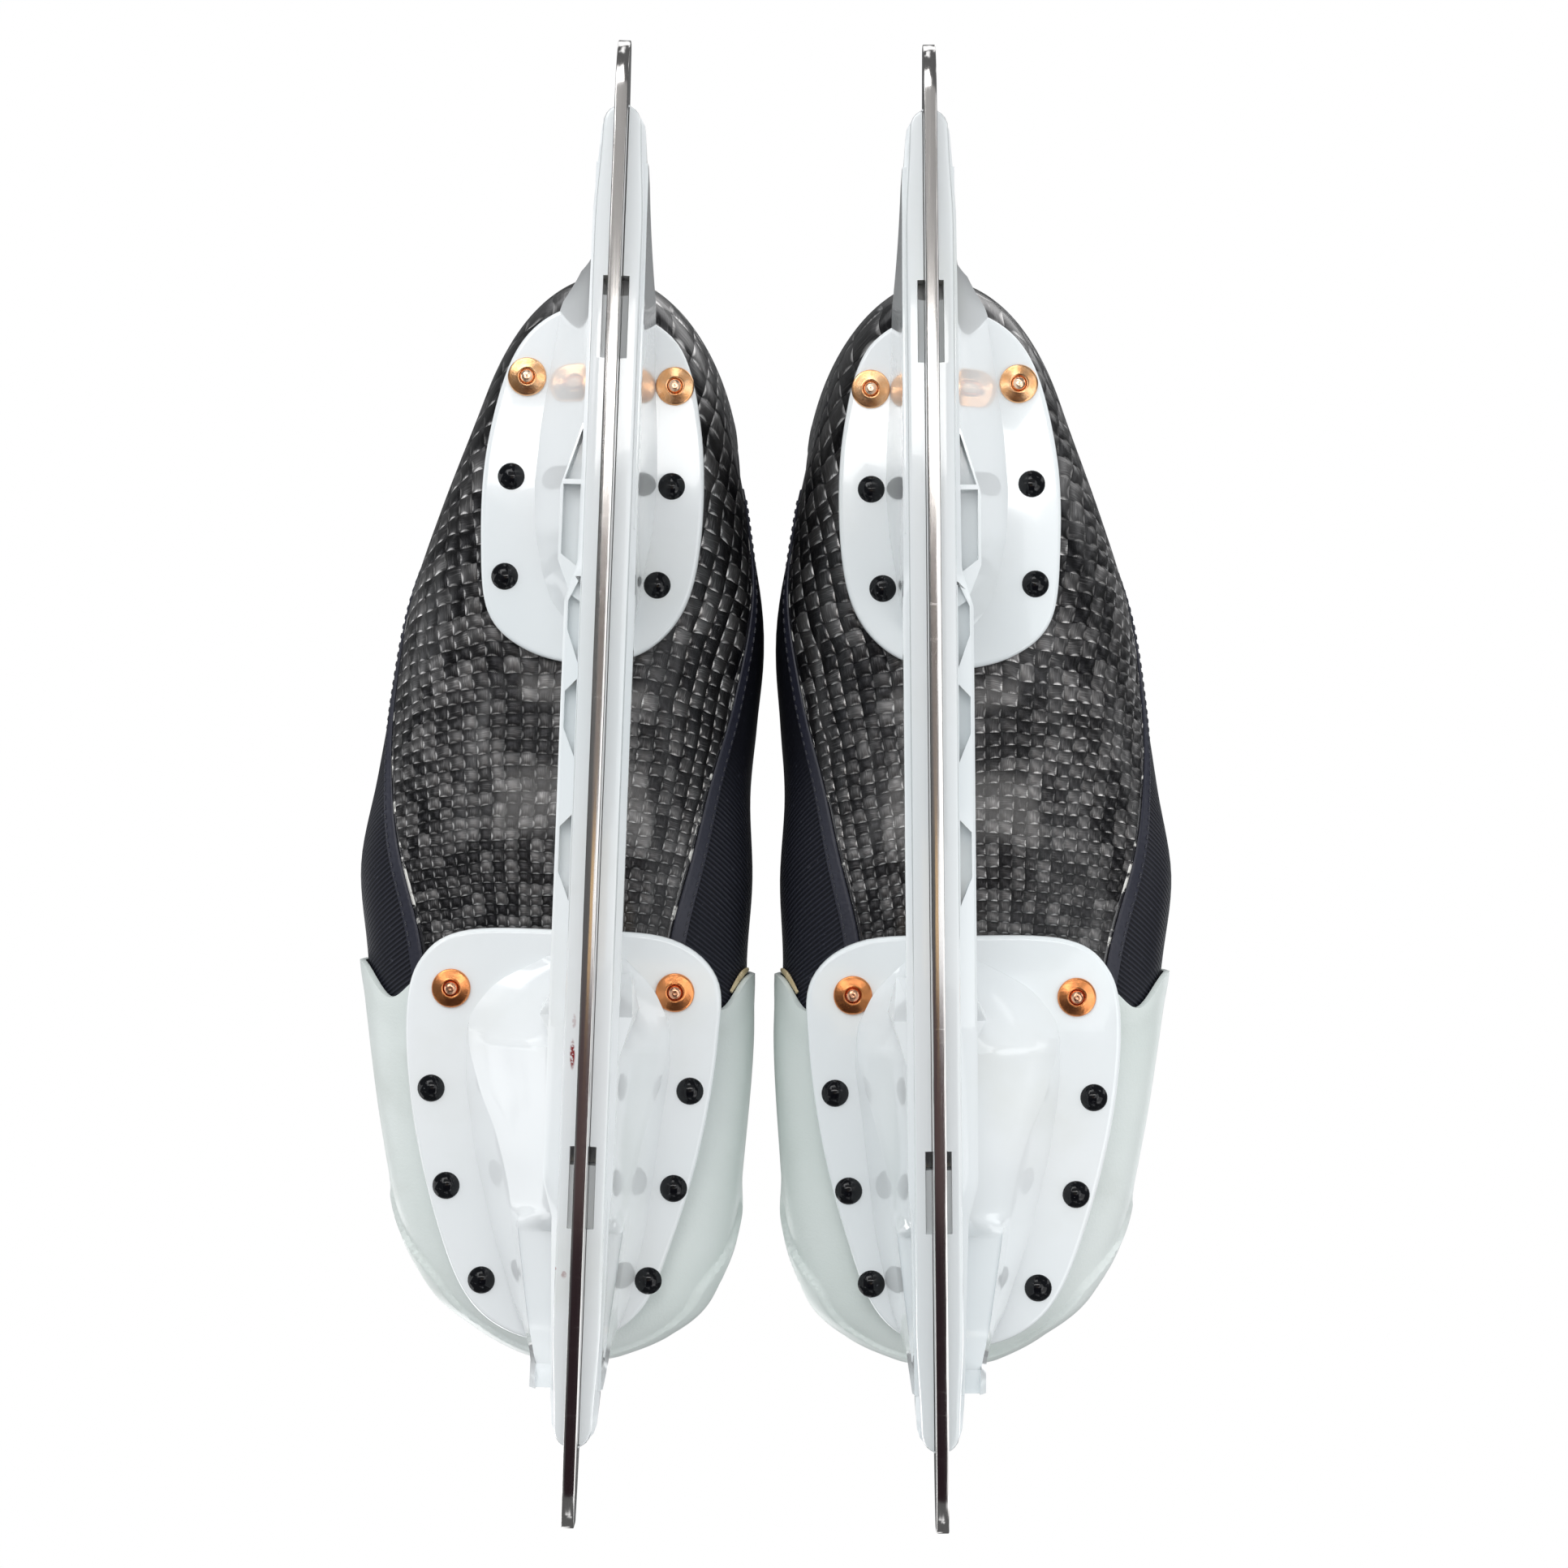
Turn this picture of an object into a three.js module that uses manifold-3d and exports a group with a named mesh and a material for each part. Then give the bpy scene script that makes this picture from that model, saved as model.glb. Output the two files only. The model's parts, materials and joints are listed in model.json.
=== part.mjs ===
// A pair of long-blade ice skates: riveted holder, steel runner and composite boot.
// Millimetres, +Z up. The blades stand on z = 0, toes point to -Y, the wearer's left skate is at +X.
// One skate is built in its own frame: +X lateral, +Y heel, the runner in the plane x = 0.
import * as THREE from 'three';
import { mergeVertices } from 'three/addons/utils/BufferGeometryUtils.js';
import Module from 'manifold-3d';

const wasm = await Module();
wasm.setup();

// ---------------------------------------------------------------- driving dimensions
const SKATE_X = 40.7;                    // runner plane of each skate from the middle of the pair
const TOE_OUT = THREE.MathUtils.degToRad(1.35);
const GAP = 0.4;                         // air between pieces that touch

const RUNNER = { half: 178.5, thick: 3, top: 18.7, tipTop: 13.5, toeRise: 5, heelRise: 8 };
const LUG = { length: 15.6, top: 33.2 };
const LUG_Y = { front: -97.6, rear: 112.3 };
const POCKET = { width: 6.2, length: 17, top: 34.5 };

const RAIL = { toe: -160, heel: 163, bottom: 11, endHalf: 4.7, flangeTop: 14, webTop: 20, top: 26 };
const RAIL_HALF = { flange: 6.7, web: 5.4, bridge: 8.6 };
const PLATE = { front: 52, rear: 60, thick: 3 };
const TOWER_WALL = 3;
const HOLLOW_FLOOR = 40;                 // height at which the space inside a tower begins

const CAP = { out: -2.6, in: -0.5 };      // the toe cap lies outside the shell surface
const SHELL_WALL = 2.2;
const SKIN = { out: 0.3, in: 2.4 };
const BOARD = { out: 3.1, in: 5.1 };     // insole board, above the shell floor
const FOOTBED = { out: 9.6, in: 13 };    // clear of the nuts on the shell floor
const LINER = { out: 3.8, in: 9, start: 14.5, margin: 0.01 };
const TONGUE = { out: 0.6, in: 8.5, overlap: 0.02 };
const FLOOR_REACH = 0.17;                // half width of the inside floor, in shares of the half turn

const BOLT = { r: 2.1, hole: 2.6, footX: 5.4, footY: 9, footBottom: 30, footTop: 37 };
const NUT = { across: 8, height: 3, washer: 10, washerHeight: 0.6 };
const NUT_BASE = { front: 60.6, rear: 68.8 };
const RIVET = { hole: 1.6, shank: 1.25 };
const DRILL = { low: 45, high: 85 };     // heights between which the sole is drilled
const SIDES = { rivet: 8, shank: 6, bolt: 8 };

// rivet places in the plates, [lateral x, y]
const COPPER = { rear: [[24.3, 102.5], [-13.4, 101.5]], front: [[37, -53.3], [-19.5, -52.3]] };
const BLACK = {
  rear: [[27.4, 77], [-13.5, 76], [28.1, 51.5], [-10.8, 50.7]],
  front: [[41.1, -78.7], [-24.2, -77], [36.4, -103.1], [-21, -101.7], [26.6, -126.6], [-15.5, -125.2]],
};

// plan outlines of the two plates
const REAR_PLATE = [[2, 121], [17, 119.5], [28, 108], [34, 84], [34.6, 60], [32, 42], [22, 33], [7, 30],
  [-8, 33.5], [-18, 45], [-21.6, 64], [-20.6, 90], [-14, 112]];
const FRONT_PLATE = [[8, -37.6], [34, -38.6], [45, -46], [48.2, -60], [45.9, -84], [39.3, -110], [31.5, -129],
  [21.5, -138.4], [8, -141.8], [-5, -139.8], [-14.8, -131.5], [-21.5, -114], [-27.6, -90], [-30.8, -65],
  [-29.8, -48], [-17, -38.6]];

// The boot is a fan of rings from the toe to above the collar. Each row gives the ring's low point and high
// point in the plane of symmetry [y, z], its lateral and medial reach in x, the share of its height at which
// it is widest, and how square its lower half is.
const RINGS = [
  // low y, z      high y, z     x out  x in   wide  square
  [-147, 70.5,    -147, 70.5,    4.5,    4.5,    0.50, 2],
  [-145.4, 63.5,  -145.4, 80,    15.5,   -7,     0.50, 2.2],
  [-140.6, 59.6,  -140.6, 89,    27.5,   -20,    0.48, 2.5],
  [-131, 58,      -131, 98,      39.5,   -30,    0.45, 2.8],
  [-113, 57.9,    -113, 107,     49,     -35.2,  0.42, 3],
  [-90, 57.9,     -90, 113,      54.6,   -37.2,  0.40, 3.1],
  [-66, 57.9,     -66, 117,      58.8,   -38.2,  0.40, 3.1],
  [-44, 58,       -46, 122,      62,     -37.4,  0.40, 3.1],
  [-22, 58.3,     -27, 131,      64.8,   -38,    0.40, 3],
  [2, 60.6,       -9, 142,       62,     -36.6,  0.40, 2.9],
  [26, 63.4,      5, 153,        59.6,   -37.6,  0.41, 2.8],
  [56, 63.4,      15, 163,       56,     -38.5,  0.43, 2.9],
  [86, 63.4,      22, 171,       50,     -35,    0.46, 2.6],
  [113, 63.5,     27, 178,       43.4,   -31,    0.50, 2.4],
  [127, 69,       30, 183,       41.6,   -30.5,  0.52, 2.1],
  [132.6, 84,     33, 187,       40.6,   -30,    0.52, 1.95],
  [133, 104,      36, 190,       39.6,   -27.6,  0.52, 1.85],
  [130, 126,      38, 193,       39,     -27.2,  0.52, 1.85],
  [126.4, 147,    39, 195,       38.6,   -27,    0.52, 1.9],
  [125, 166,      39.5, 197,     38.4,   -26.8,  0.52, 2],
  [125.6, 181,    40, 201,       38.6,   -27.2,  0.52, 2],
  [127, 194,      42, 212,       38.2,   -26.8,  0.52, 2],
];
const COLLAR = 20;                       // ring at the top of the quarters
const CAP_EDGE = 6.95;                   // ring at the rear edge of the toe cap
const THROAT_START = 7.25;
const COUNTER_TOP = 17;                  // ring at the top of the composite heel counter
const HEEL_CORNER = 13.5;                // ring at the rear end of the inside floor

// Where the composite shell ends on each side, as [ring, share of the half turn from the ring's low point].
const SHELL_EDGE = {
  lateral: [[0, 0.30], [5, 0.17], [7, 0.172], [8, 0.21], [9, 0.32], [10, 0.38], [12, 0.44], [14, 0.46],
    [16, 0.36], [17, 0.2], [20, 0.19], [21, 0.16]],
  medial: [[0, 0.26], [5, 0.13], [7, 0.135], [8, 0.18], [9, 0.25], [10, 0.31], [12, 0.38], [14, 0.42],
    [16, 0.34], [17, 0.2], [20, 0.19], [21, 0.16]],
};
// Where the quarters end at the throat, in the same shares.
const THROAT = [[7, 0.9], [8, 0.87], [10, 0.84], [13, 0.8], [17, 0.77], [21, 0.75]];

// ---------------------------------------------------------------- small helpers
function paint(color, roughness, metalness = 0) {
  return new THREE.MeshStandardMaterial({ color, roughness, metalness });
}

const MATERIALS = {
  whitePlastic: paint(0xeef3f4, 0.25),
  steel: paint(0x9a9794, 0.3, 1),
  carbon: paint(0x2b2b2d, 0.25),
  capPlastic: paint(0xdde6e2, 0.4),
  darkSkin: paint(0x15161f, 0.6),
  lining: paint(0x202126, 0.9),
  copper: paint(0xc56a3a, 0.35, 1),
  blackSteel: paint(0x0c0d10, 0.15, 0.4),
  zinc: paint(0xb9bcc0, 0.35, 1),
};

/** Piecewise linear value of a [position, value] list. */
function along(list, x) {
  const i = Math.max(1, Math.min(list.length - 1, list.findIndex(([p]) => p >= x)));
  const [[x0, y0], [x1, y1]] = [list[i - 1], list[i]];
  return THREE.MathUtils.lerp(y0, y1, THREE.MathUtils.clamp((x - x0) / (x1 - x0), 0, 1));
}

/** A closed manifold solid from a three.js geometry. */
function solid(geometry) {
  const bare = geometry.clone();
  for (const name of Object.keys(bare.attributes)) if (name !== 'position') bare.deleteAttribute(name);
  const merged = mergeVertices(bare, 1e-4);
  const index = merged.index.array;
  const kept = [];
  for (let i = 0; i < index.length; i += 3) {
    const [a, b, c] = [index[i], index[i + 1], index[i + 2]];
    if (a !== b && b !== c && c !== a) kept.push(a, b, c);
  }
  const mesh = { numProp: 3, vertProperties: new Float32Array(merged.attributes.position.array),
    triVerts: new Uint32Array(kept) };
  return new wasm.Manifold(new wasm.Mesh(mesh));
}

/** A three.js geometry from a manifold solid. */
function toGeometry(manifold) {
  const mesh = manifold.getMesh();
  const geometry = new THREE.BufferGeometry();
  geometry.setAttribute('position', new THREE.BufferAttribute(Float32Array.from(mesh.vertProperties), 3));
  geometry.setIndex(new THREE.BufferAttribute(Uint32Array.from(mesh.triVerts), 1));
  geometry.computeVertexNormals();
  return geometry;
}

/** A geometry from triangles given as vector triples, turned so that its volume is positive. */
function fromTriangles(triangles) {
  const volume = triangles.reduce((sum, [a, b, c]) => sum + a.dot(b.clone().cross(c)), 0);
  const points = triangles.flatMap(([a, b, c]) => (volume > 0 ? [a, b, c] : [a, c, b]));
  return new THREE.BufferGeometry().setFromPoints(points);
}

const quad = (a, b, c, d) => [[a, b, c], [a, c, d]];

/** A closed solid through a stack of closed rings of points. */
function loft(rings) {
  const triangles = [];
  const count = rings[0].length;
  for (let r = 0; r + 1 < rings.length; r++) {
    for (let i = 0; i < count; i++) {
      const j = (i + 1) % count;
      triangles.push(...quad(rings[r][i], rings[r][j], rings[r + 1][j], rings[r + 1][i]));
    }
  }
  for (const [ring, flip] of [[rings[0], true], [rings.at(-1), false]]) {
    const middle = ring.reduce((sum, p) => sum.add(p), new THREE.Vector3()).divideScalar(count);
    for (let i = 0; i < count; i++) {
      const [a, b] = [ring[i], ring[(i + 1) % count]];
      triangles.push(flip ? [middle, b, a] : [middle, a, b]);
    }
  }
  return fromTriangles(triangles);
}

/** A flat outline, extruded from z = low to z = high. */
function slab(points, low, high, smooth = 0) {
  const corners = points.map(([x, y]) => new THREE.Vector3(x, y, 0));
  const curve = new THREE.CatmullRomCurve3(corners, true, 'centripetal');
  const rounded = smooth ? curve.getPoints(smooth).slice(0, -1) : corners;
  const shape = new THREE.Shape(rounded.map((p) => new THREE.Vector2(p.x, p.y)));
  const geometry = new THREE.ExtrudeGeometry(shape, { depth: high - low, bevelEnabled: false });
  return solid(geometry.translate(0, 0, low));
}

/** An upright box between two corners. */
function block([x0, y0, z0], [x1, y1, z1]) {
  const geometry = new THREE.BoxGeometry(x1 - x0, y1 - y0, z1 - z0);
  return solid(geometry.translate((x0 + x1) / 2, (y0 + y1) / 2, (z0 + z1) / 2));
}

/** An upright round bar. */
function bar(x, y, low, high, radius, sides) {
  const geometry = new THREE.CylinderGeometry(radius, radius, high - low, sides).rotateX(Math.PI / 2);
  return solid(geometry.translate(x, y, (low + high) / 2));
}

// ---------------------------------------------------------------- boot surface
/** One row of the ring table at any position between two rings. */
function ringAt(position) {
  const k = THREE.MathUtils.clamp(position, 0, RINGS.length - 1);
  const i = Math.min(Math.floor(k), RINGS.length - 2);
  return RINGS[i].map((value, column) => THREE.MathUtils.lerp(value, RINGS[i + 1][column], k - i));
}

/** Point on the boot from its ring, its share of the half turn (positive is lateral) and its depth. */
function bootPoint(position, share, inset) {
  const [lowY, lowZ, highY, highZ, outX, inX, wide, square] = ringAt(position);
  const low = new THREE.Vector3(0, lowY, lowZ);
  const up = new THREE.Vector3(0, highY - lowY, highZ - lowZ);
  const height = up.length();
  up.normalize();
  const depth = Math.min(inset, height * 0.45) * Math.min(position, 1);
  const toeShift = inset * THREE.MathUtils.clamp((2 - position) / 2, 0, 1);
  const angle = Math.PI * Math.abs(share);
  const [c, s] = [Math.cos(angle), Math.sin(angle)];
  const power = 2 / (c > 0 ? square : 2.1);
  const rise = c > 0 ? wide * (1 - c ** power) : wide + (1 - wide) * (-c) ** power;
  const middle = (outX + inX) / 2;
  const half = Math.max((outX - inX) / 2 - depth, 0);
  const point = low.addScaledVector(up, depth + rise * (height - 2 * depth));
  point.x = middle + Math.sign(share) * half * Math.abs(s) ** power;
  point.y += toeShift;
  return point;
}

/** A wall that follows the boot: ring positions, share at (position, step), and its two depths. */
function wall(positions, steps, shareAt, outer, inner) {
  const grid = (inset) => positions.map((k) => Array.from({ length: steps + 1 },
    (_, j) => bootPoint(k, shareAt(k, j / steps), inset)));
  const [a, b] = [grid(outer), grid(inner)];
  const triangles = [];
  const last = positions.length - 1;
  for (let r = 0; r < last; r++) {
    for (let j = 0; j < steps; j++) {
      triangles.push(...quad(a[r][j], a[r][j + 1], a[r + 1][j + 1], a[r + 1][j]));
      triangles.push(...quad(b[r][j], b[r + 1][j], b[r + 1][j + 1], b[r][j + 1]));
    }
    triangles.push(...quad(a[r][0], a[r + 1][0], b[r + 1][0], b[r][0]));
    triangles.push(...quad(a[r][steps], b[r][steps], b[r + 1][steps], a[r + 1][steps]));
  }
  for (let j = 0; j < steps; j++) {
    triangles.push(...quad(a[0][j], b[0][j], b[0][j + 1], a[0][j + 1]));
    triangles.push(...quad(a[last][j], a[last][j + 1], b[last][j + 1], b[last][j]));
  }
  return fromTriangles(triangles);
}

/** Ring positions from first to last, through every whole ring between them. */
function ringsBetween(first, last) {
  const tooClose = 0.2;
  const whole = [...RINGS.keys()].filter((i) => i > first + tooClose && i < last - tooClose);
  return [first, ...whole, last];
}

const shellEdge = (k, side) => along(side > 0 ? SHELL_EDGE.lateral : SHELL_EDGE.medial, k);
const throatEdge = (k) => along(THROAT, k);
const SHARE_GAP = 0.006;                 // gap between a shell edge and a quarter, in shares of the half turn

/** Share at a step across the composite shell, from its medial edge to its lateral edge. */
const acrossShell = (k, t) => THREE.MathUtils.lerp(-shellEdge(k, -1), shellEdge(k, 1), t);
/** Share at a step across a piece that reaches equally far to both sides. */
const across = (reach) => (k, t) => THREE.MathUtils.lerp(-reach(k), reach(k), t);

// ---------------------------------------------------------------- boot pieces
const allRivets = (end) => [...COPPER[end], ...BLACK[end]];

/** Cuts the rivet and bolt holes that pass through a layer of the sole. */
function drill(layer, end) {
  const holes = allRivets(end).map(([x, y]) => bar(x, y, DRILL.low, DRILL.high, RIVET.hole, SIDES.shank));
  holes.push(bar(0, LUG_Y[end], DRILL.low, DRILL.high, BOLT.hole, SIDES.bolt));
  return holes.reduce((rest, hole) => rest.subtract(hole), layer);
}

function carbonShell() {
  const geometry = wall(ringsBetween(0, COUNTER_TOP), 12, acrossShell, 0, SHELL_WALL);
  return toGeometry(drill(drill(solid(geometry), 'front'), 'rear'));
}

function toeCap() {
  const geometry = wall(ringsBetween(0, CAP_EDGE), 18, across(() => 1), CAP.out, CAP.in);
  return toGeometry(drill(solid(geometry), 'front'));
}

function quarter(side) {
  const share = (k, t) => side * THREE.MathUtils.lerp(shellEdge(k, side) + SHARE_GAP, throatEdge(k), t);
  return wall(ringsBetween(6, COLLAR), 6, share, SKIN.out, SKIN.in);
}

function tendonGuard() {
  const share = across((k) => shellEdge(k, 1) - SHARE_GAP);
  return wall(ringsBetween(COUNTER_TOP + 0.05, RINGS.length - 1), 6, share, SKIN.out, SKIN.in);
}

function ankleLiner() {
  const share = across((k) => throatEdge(k) - LINER.margin);
  return wall(ringsBetween(LINER.start, COLLAR + 0.2), 12, share, LINER.out, LINER.in);
}

function tongue() {
  const share = (k, t) => {
    const edge = throatEdge(k) + TONGUE.overlap;
    const turn = THREE.MathUtils.lerp(edge, 2 - edge, t);
    return turn > 1 ? turn - 2 : turn;
  };
  return wall(ringsBetween(THROAT_START, RINGS.length - 1), 6, share, TONGUE.out, TONGUE.in);
}

/** A thin layer over the inside floor, with holes that leave room for the runner nuts. */
function insoleBoard() {
  const reach = (k, side) => Math.min(FLOOR_REACH, shellEdge(k, side) - 0.02);
  const share = (k, t) => THREE.MathUtils.lerp(-reach(k, -1), reach(k, 1), t);
  const geometry = wall(ringsBetween(1.5, HEEL_CORNER), 4, share, BOARD.out, BOARD.in);
  const room = NUT.washer / 2 + 1.1;
  const holes = ['front', 'rear'].map((end) => bar(0, LUG_Y[end], DRILL.low, DRILL.high, room, SIDES.bolt));
  return toGeometry(holes.reduce((board, hole) => board.subtract(hole), solid(geometry)));
}

function footbed() {
  return wall(ringsBetween(2, HEEL_CORNER), 6, across(() => FLOOR_REACH), FOOTBED.out, FOOTBED.in);
}

// ---------------------------------------------------------------- holder
// A tower rises from the rail to its plate. Each level gives z, heel y, toe y and its reach in x, lateral
// and medial. In plan it is an egg: widest up to the share `belly` of its length and `endShare` as wide at
// its toe end.
const TOWERS = {
  front: {
    belly: 0.22,
    endShare: 0.42,
    levels: [
      [20, -66, -150, 6.5, -6.5],
      [30, -60, -148.5, 12, -9],
      [42, -52, -145, 24, -15],
      [PLATE.front + 0.5, -45.5, -141, 33, -19],
    ],
  },
  rear: {
    belly: 0.5,
    endShare: 0.85,
    levels: [
      [20, 150, 60, 6.5, -6.5],
      [32, 146, 56, 10, -8],
      [46, 135, 48, 15.5, -8.6],
      [PLATE.rear + 0.5, 120, 39.5, 21, -9.2],
    ],
  },
};

/** One level of a tower as a closed ring of points, pulled in by `shrink`. */
function towerRing([z, heelY, toeY, outX, inX], { belly, endShare }, shrink) {
  const sides = 16;
  const [middle, half] = [(outX + inX) / 2, (outX - inX) / 2 - shrink];
  return Array.from({ length: sides }, (_, i) => {
    const angle = (2 * Math.PI * i) / sides;
    const run = (1 - Math.cos(angle)) / 2;
    const swell = run < belly ? 1 : THREE.MathUtils.lerp(1, endShare, (run - belly) / (1 - belly));
    const x = middle + Math.sign(Math.sin(angle)) * half * swell * Math.abs(Math.sin(angle)) ** 0.6;
    return new THREE.Vector3(x, THREE.MathUtils.lerp(heelY - 2 * shrink, toeY + 2 * shrink, run), z);
  });
}

function tower(end, levels = TOWERS[end].levels, shrink = 0) {
  return solid(loft(levels.map((level) => towerRing(level, TOWERS[end], shrink))));
}

/** The space inside a tower, open to the boot above it, with a boss left for the runner bolt. */
function towerHollow(end) {
  const [lower, upper] = TOWERS[end].levels.slice(2);
  const floor = [HOLLOW_FLOOR, ...lower.slice(1)];
  const mouth = [upper[0] + PLATE.thick + 1, ...upper.slice(1)];
  const boss = bar(0, LUG_Y[end], HOLLOW_FLOOR - 4, PLATE[end] + PLATE.thick, 6, SIDES.bolt);
  return tower(end, [floor, mouth], TOWER_WALL).subtract(boss);
}

/** The channels between the rail and the two outer struts at the toe end of the front tower. */
function strutChannels() {
  const [apex, base, end] = [-104, -110, -152];
  return [1, -1].map((side) => {
    const outer = side > 0 ? 15 : 10;
    const ring = (z, start, near, far) => [[near, start], [far, start - 4], [far - 3, end], [near, end]]
      .map(([x, y]) => new THREE.Vector3(side * x, y, z));
    return solid(loft([ring(15, apex, 7.4, outer), ring(38, base, 7.8, outer + 0.8)]));
  });
}

/** Plan outline of the rail at a half width, with rounded ends. */
function railOutline(half, toe, heel) {
  const [end, taper] = [RAIL.endHalf, 26];
  const heelSide = [[-half, heel - taper], [-end, heel - 3], [-end * 0.6, heel]];
  const toeSide = [[half, toe + taper], [end, toe + 3], [end * 0.6, toe]];
  const turnedOver = (points) => points.map(([x, y]) => [-x, y]).reverse();
  return [...heelSide, ...turnedOver(heelSide), ...toeSide, ...turnedOver(toeSide)];
}

function rail() {
  const { toe, heel, bottom, flangeTop, webTop, top } = RAIL;
  const flange = slab(railOutline(RAIL_HALF.flange, toe, heel), bottom, flangeTop);
  const web = slab(railOutline(RAIL_HALF.web, toe + 0.5, heel - 0.5), flangeTop - 0.5, webTop);
  const bridge = slab(railOutline(RAIL_HALF.bridge, -148, 148), webTop - 0.5, top);
  return flange.add(web).add(bridge);
}

/** The room for a lug and for the foot of its bolt, open at the bottom of the rail. */
function lugPocket(end) {
  const [halfX, halfY, footHalf] = [POCKET.width / 2, POCKET.length / 2, 5];
  const y = LUG_Y[end];
  const wide = block([-halfX, y - halfY, 5], [halfX, y + halfY, POCKET.top]);
  return wide.add(block([-halfX, y - footHalf, 5], [halfX, y + footHalf, BOLT.footTop + GAP]));
}

function holder() {
  let body = rail().add(tower('front')).add(tower('rear'));
  body = body.add(slab(FRONT_PLATE, PLATE.front, PLATE.front + PLATE.thick, 26));
  body = body.add(slab(REAR_PLATE, PLATE.rear, PLATE.rear + PLATE.thick, 22));
  for (const channel of strutChannels()) body = body.subtract(channel);
  for (const end of ['front', 'rear']) {
    body = body.subtract(towerHollow(end)).subtract(lugPocket(end));
    body = drill(body, end).subtract(bar(0, LUG_Y[end], 30, DRILL.low, BOLT.hole, SIDES.bolt));
  }
  const groove = RUNNER.thick / 2 + 0.3;
  return toGeometry(body.subtract(block([-groove, -200, 5], [groove, 200, RUNNER.top + GAP])));
}

// ---------------------------------------------------------------- runner and fasteners
/** Side view of the runner: flat middle, both ends rising, two lugs on the top edge. */
function runner() {
  const { half, thick, top, tipTop, toeRise, heelRise } = RUNNER;
  const lugHalf = LUG.length / 2;
  const [neckHalf, neckFoot, shoulder] = [3, LUG.top - 3, LUG.top - 4];
  const lug = (y) => [[y + lugHalf, top], [y + lugHalf - 1, shoulder], [y + neckHalf + 0.5, neckFoot],
    [y + neckHalf, LUG.top], [y - neckHalf, LUG.top], [y - neckHalf - 0.5, neckFoot],
    [y - lugHalf + 1, shoulder], [y - lugHalf, top]];
  const flatHalf = 90;
  const rocker = (y) => (Math.max(Math.abs(y) - flatHalf, 0) / 60) ** 2 * 0.9;
  const sole = [-150, -120, -flatHalf, flatHalf, 120, 150, 168].map((y) => [y, rocker(y)]);
  const heelTip = [[half - 3, 3.2], [half, heelRise], [half - 0.5, tipTop - 1], [half - 4, tipTop],
    [half - 22, top]];
  const toeTip = [[-half + 22, top], [-half + 3, tipTop], [-half, tipTop - 2], [-half, toeRise],
    [-half + 9, 2.4]];
  const lugs = [...lug(LUG_Y.rear), ...lug(LUG_Y.front)];
  const outline = [...sole, ...heelTip, ...lugs, ...toeTip];
  const shape = new THREE.Shape(outline.map(([y, z]) => new THREE.Vector2(y, z)));
  const geometry = new THREE.ExtrudeGeometry(shape, { depth: thick, bevelEnabled: false });
  // shape x -> +Y, shape y -> +Z, depth -> +X
  geometry.applyMatrix4(new THREE.Matrix4().makeBasis(new THREE.Vector3(0, 1, 0), new THREE.Vector3(0, 0, 1),
    new THREE.Vector3(1, 0, 0)));
  return geometry.translate(-thick / 2, 0, 0);
}

/** A bolt whose forked foot straddles the lug and whose shank rises through the tower into the boot. */
function runnerBolt(end) {
  const y = LUG_Y[end];
  const [halfX, halfY, slotHalf] = [BOLT.footX / 2, BOLT.footY / 2, RUNNER.thick / 2 + 0.35];
  const foot = block([-halfX, y - halfY, BOLT.footBottom], [halfX, y + halfY, BOLT.footTop]);
  const slot = block([-slotHalf, y - 10, BOLT.footBottom - 5], [slotHalf, y + 10, LUG.top + GAP]);
  const shank = bar(0, y, BOLT.footTop - 1, NUT_BASE[end] + NUT.height + GAP, BOLT.r, SIDES.bolt);
  return toGeometry(foot.subtract(slot).add(shank));
}

/** A hexagonal nut with its washer, on the floor of the shell. */
function runnerNut(end) {
  const base = NUT_BASE[end];
  const [hexSides, washerSides] = [6, 10];
  const corner = NUT.across / 2 / Math.cos(Math.PI / hexSides);
  const washer = bar(0, LUG_Y[end], base, base + NUT.washerHeight, NUT.washer / 2, washerSides);
  const nut = bar(0, LUG_Y[end], base + NUT.washerHeight - 0.1, base + NUT.height, corner, hexSides);
  const bore = bar(0, LUG_Y[end], DRILL.low, DRILL.high, BOLT.r + 0.3, SIDES.bolt);
  return toGeometry(washer.add(nut).subtract(bore));
}

/** A turned profile of [radius, z] points from axis to axis. */
function turned(profile, sides, x, y) {
  const geometry = new THREE.LatheGeometry(profile.map(([r, z]) => new THREE.Vector2(r, z)), sides);
  return toGeometry(solid(geometry.rotateX(Math.PI / 2).translate(x, y, 0)));
}

/** Height of the outside of the shell floor over each plate. */
const FLOOR = { front: 57.9, rear: 63.5 };
/** Top of a rivet: just above the shell floor. */
const rivetTop = (end) => FLOOR[end] + SHELL_WALL + 0.1;

function blackRivet(end, [x, y]) {
  const face = PLATE[end] - 0.3;
  const profile = [[0, face - 1.7], [2.3, face - 1.2], [3.45, face], [RIVET.shank, face],
    [RIVET.shank, rivetTop(end)], [0, rivetTop(end)]];
  return turned(profile, SIDES.rivet, x, y);
}

function copperRivet(end, [x, y]) {
  const face = PLATE[end] - 0.3;
  const profile = [[0, face - 2.6], [1.6, face - 2.6], [1.9, face - 1.2], [4.75, face - 1], [4.75, face],
    [RIVET.shank, face], [RIVET.shank, rivetTop(end)], [0, rivetTop(end)]];
  return turned(profile, SIDES.rivet, x, y);
}

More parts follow.
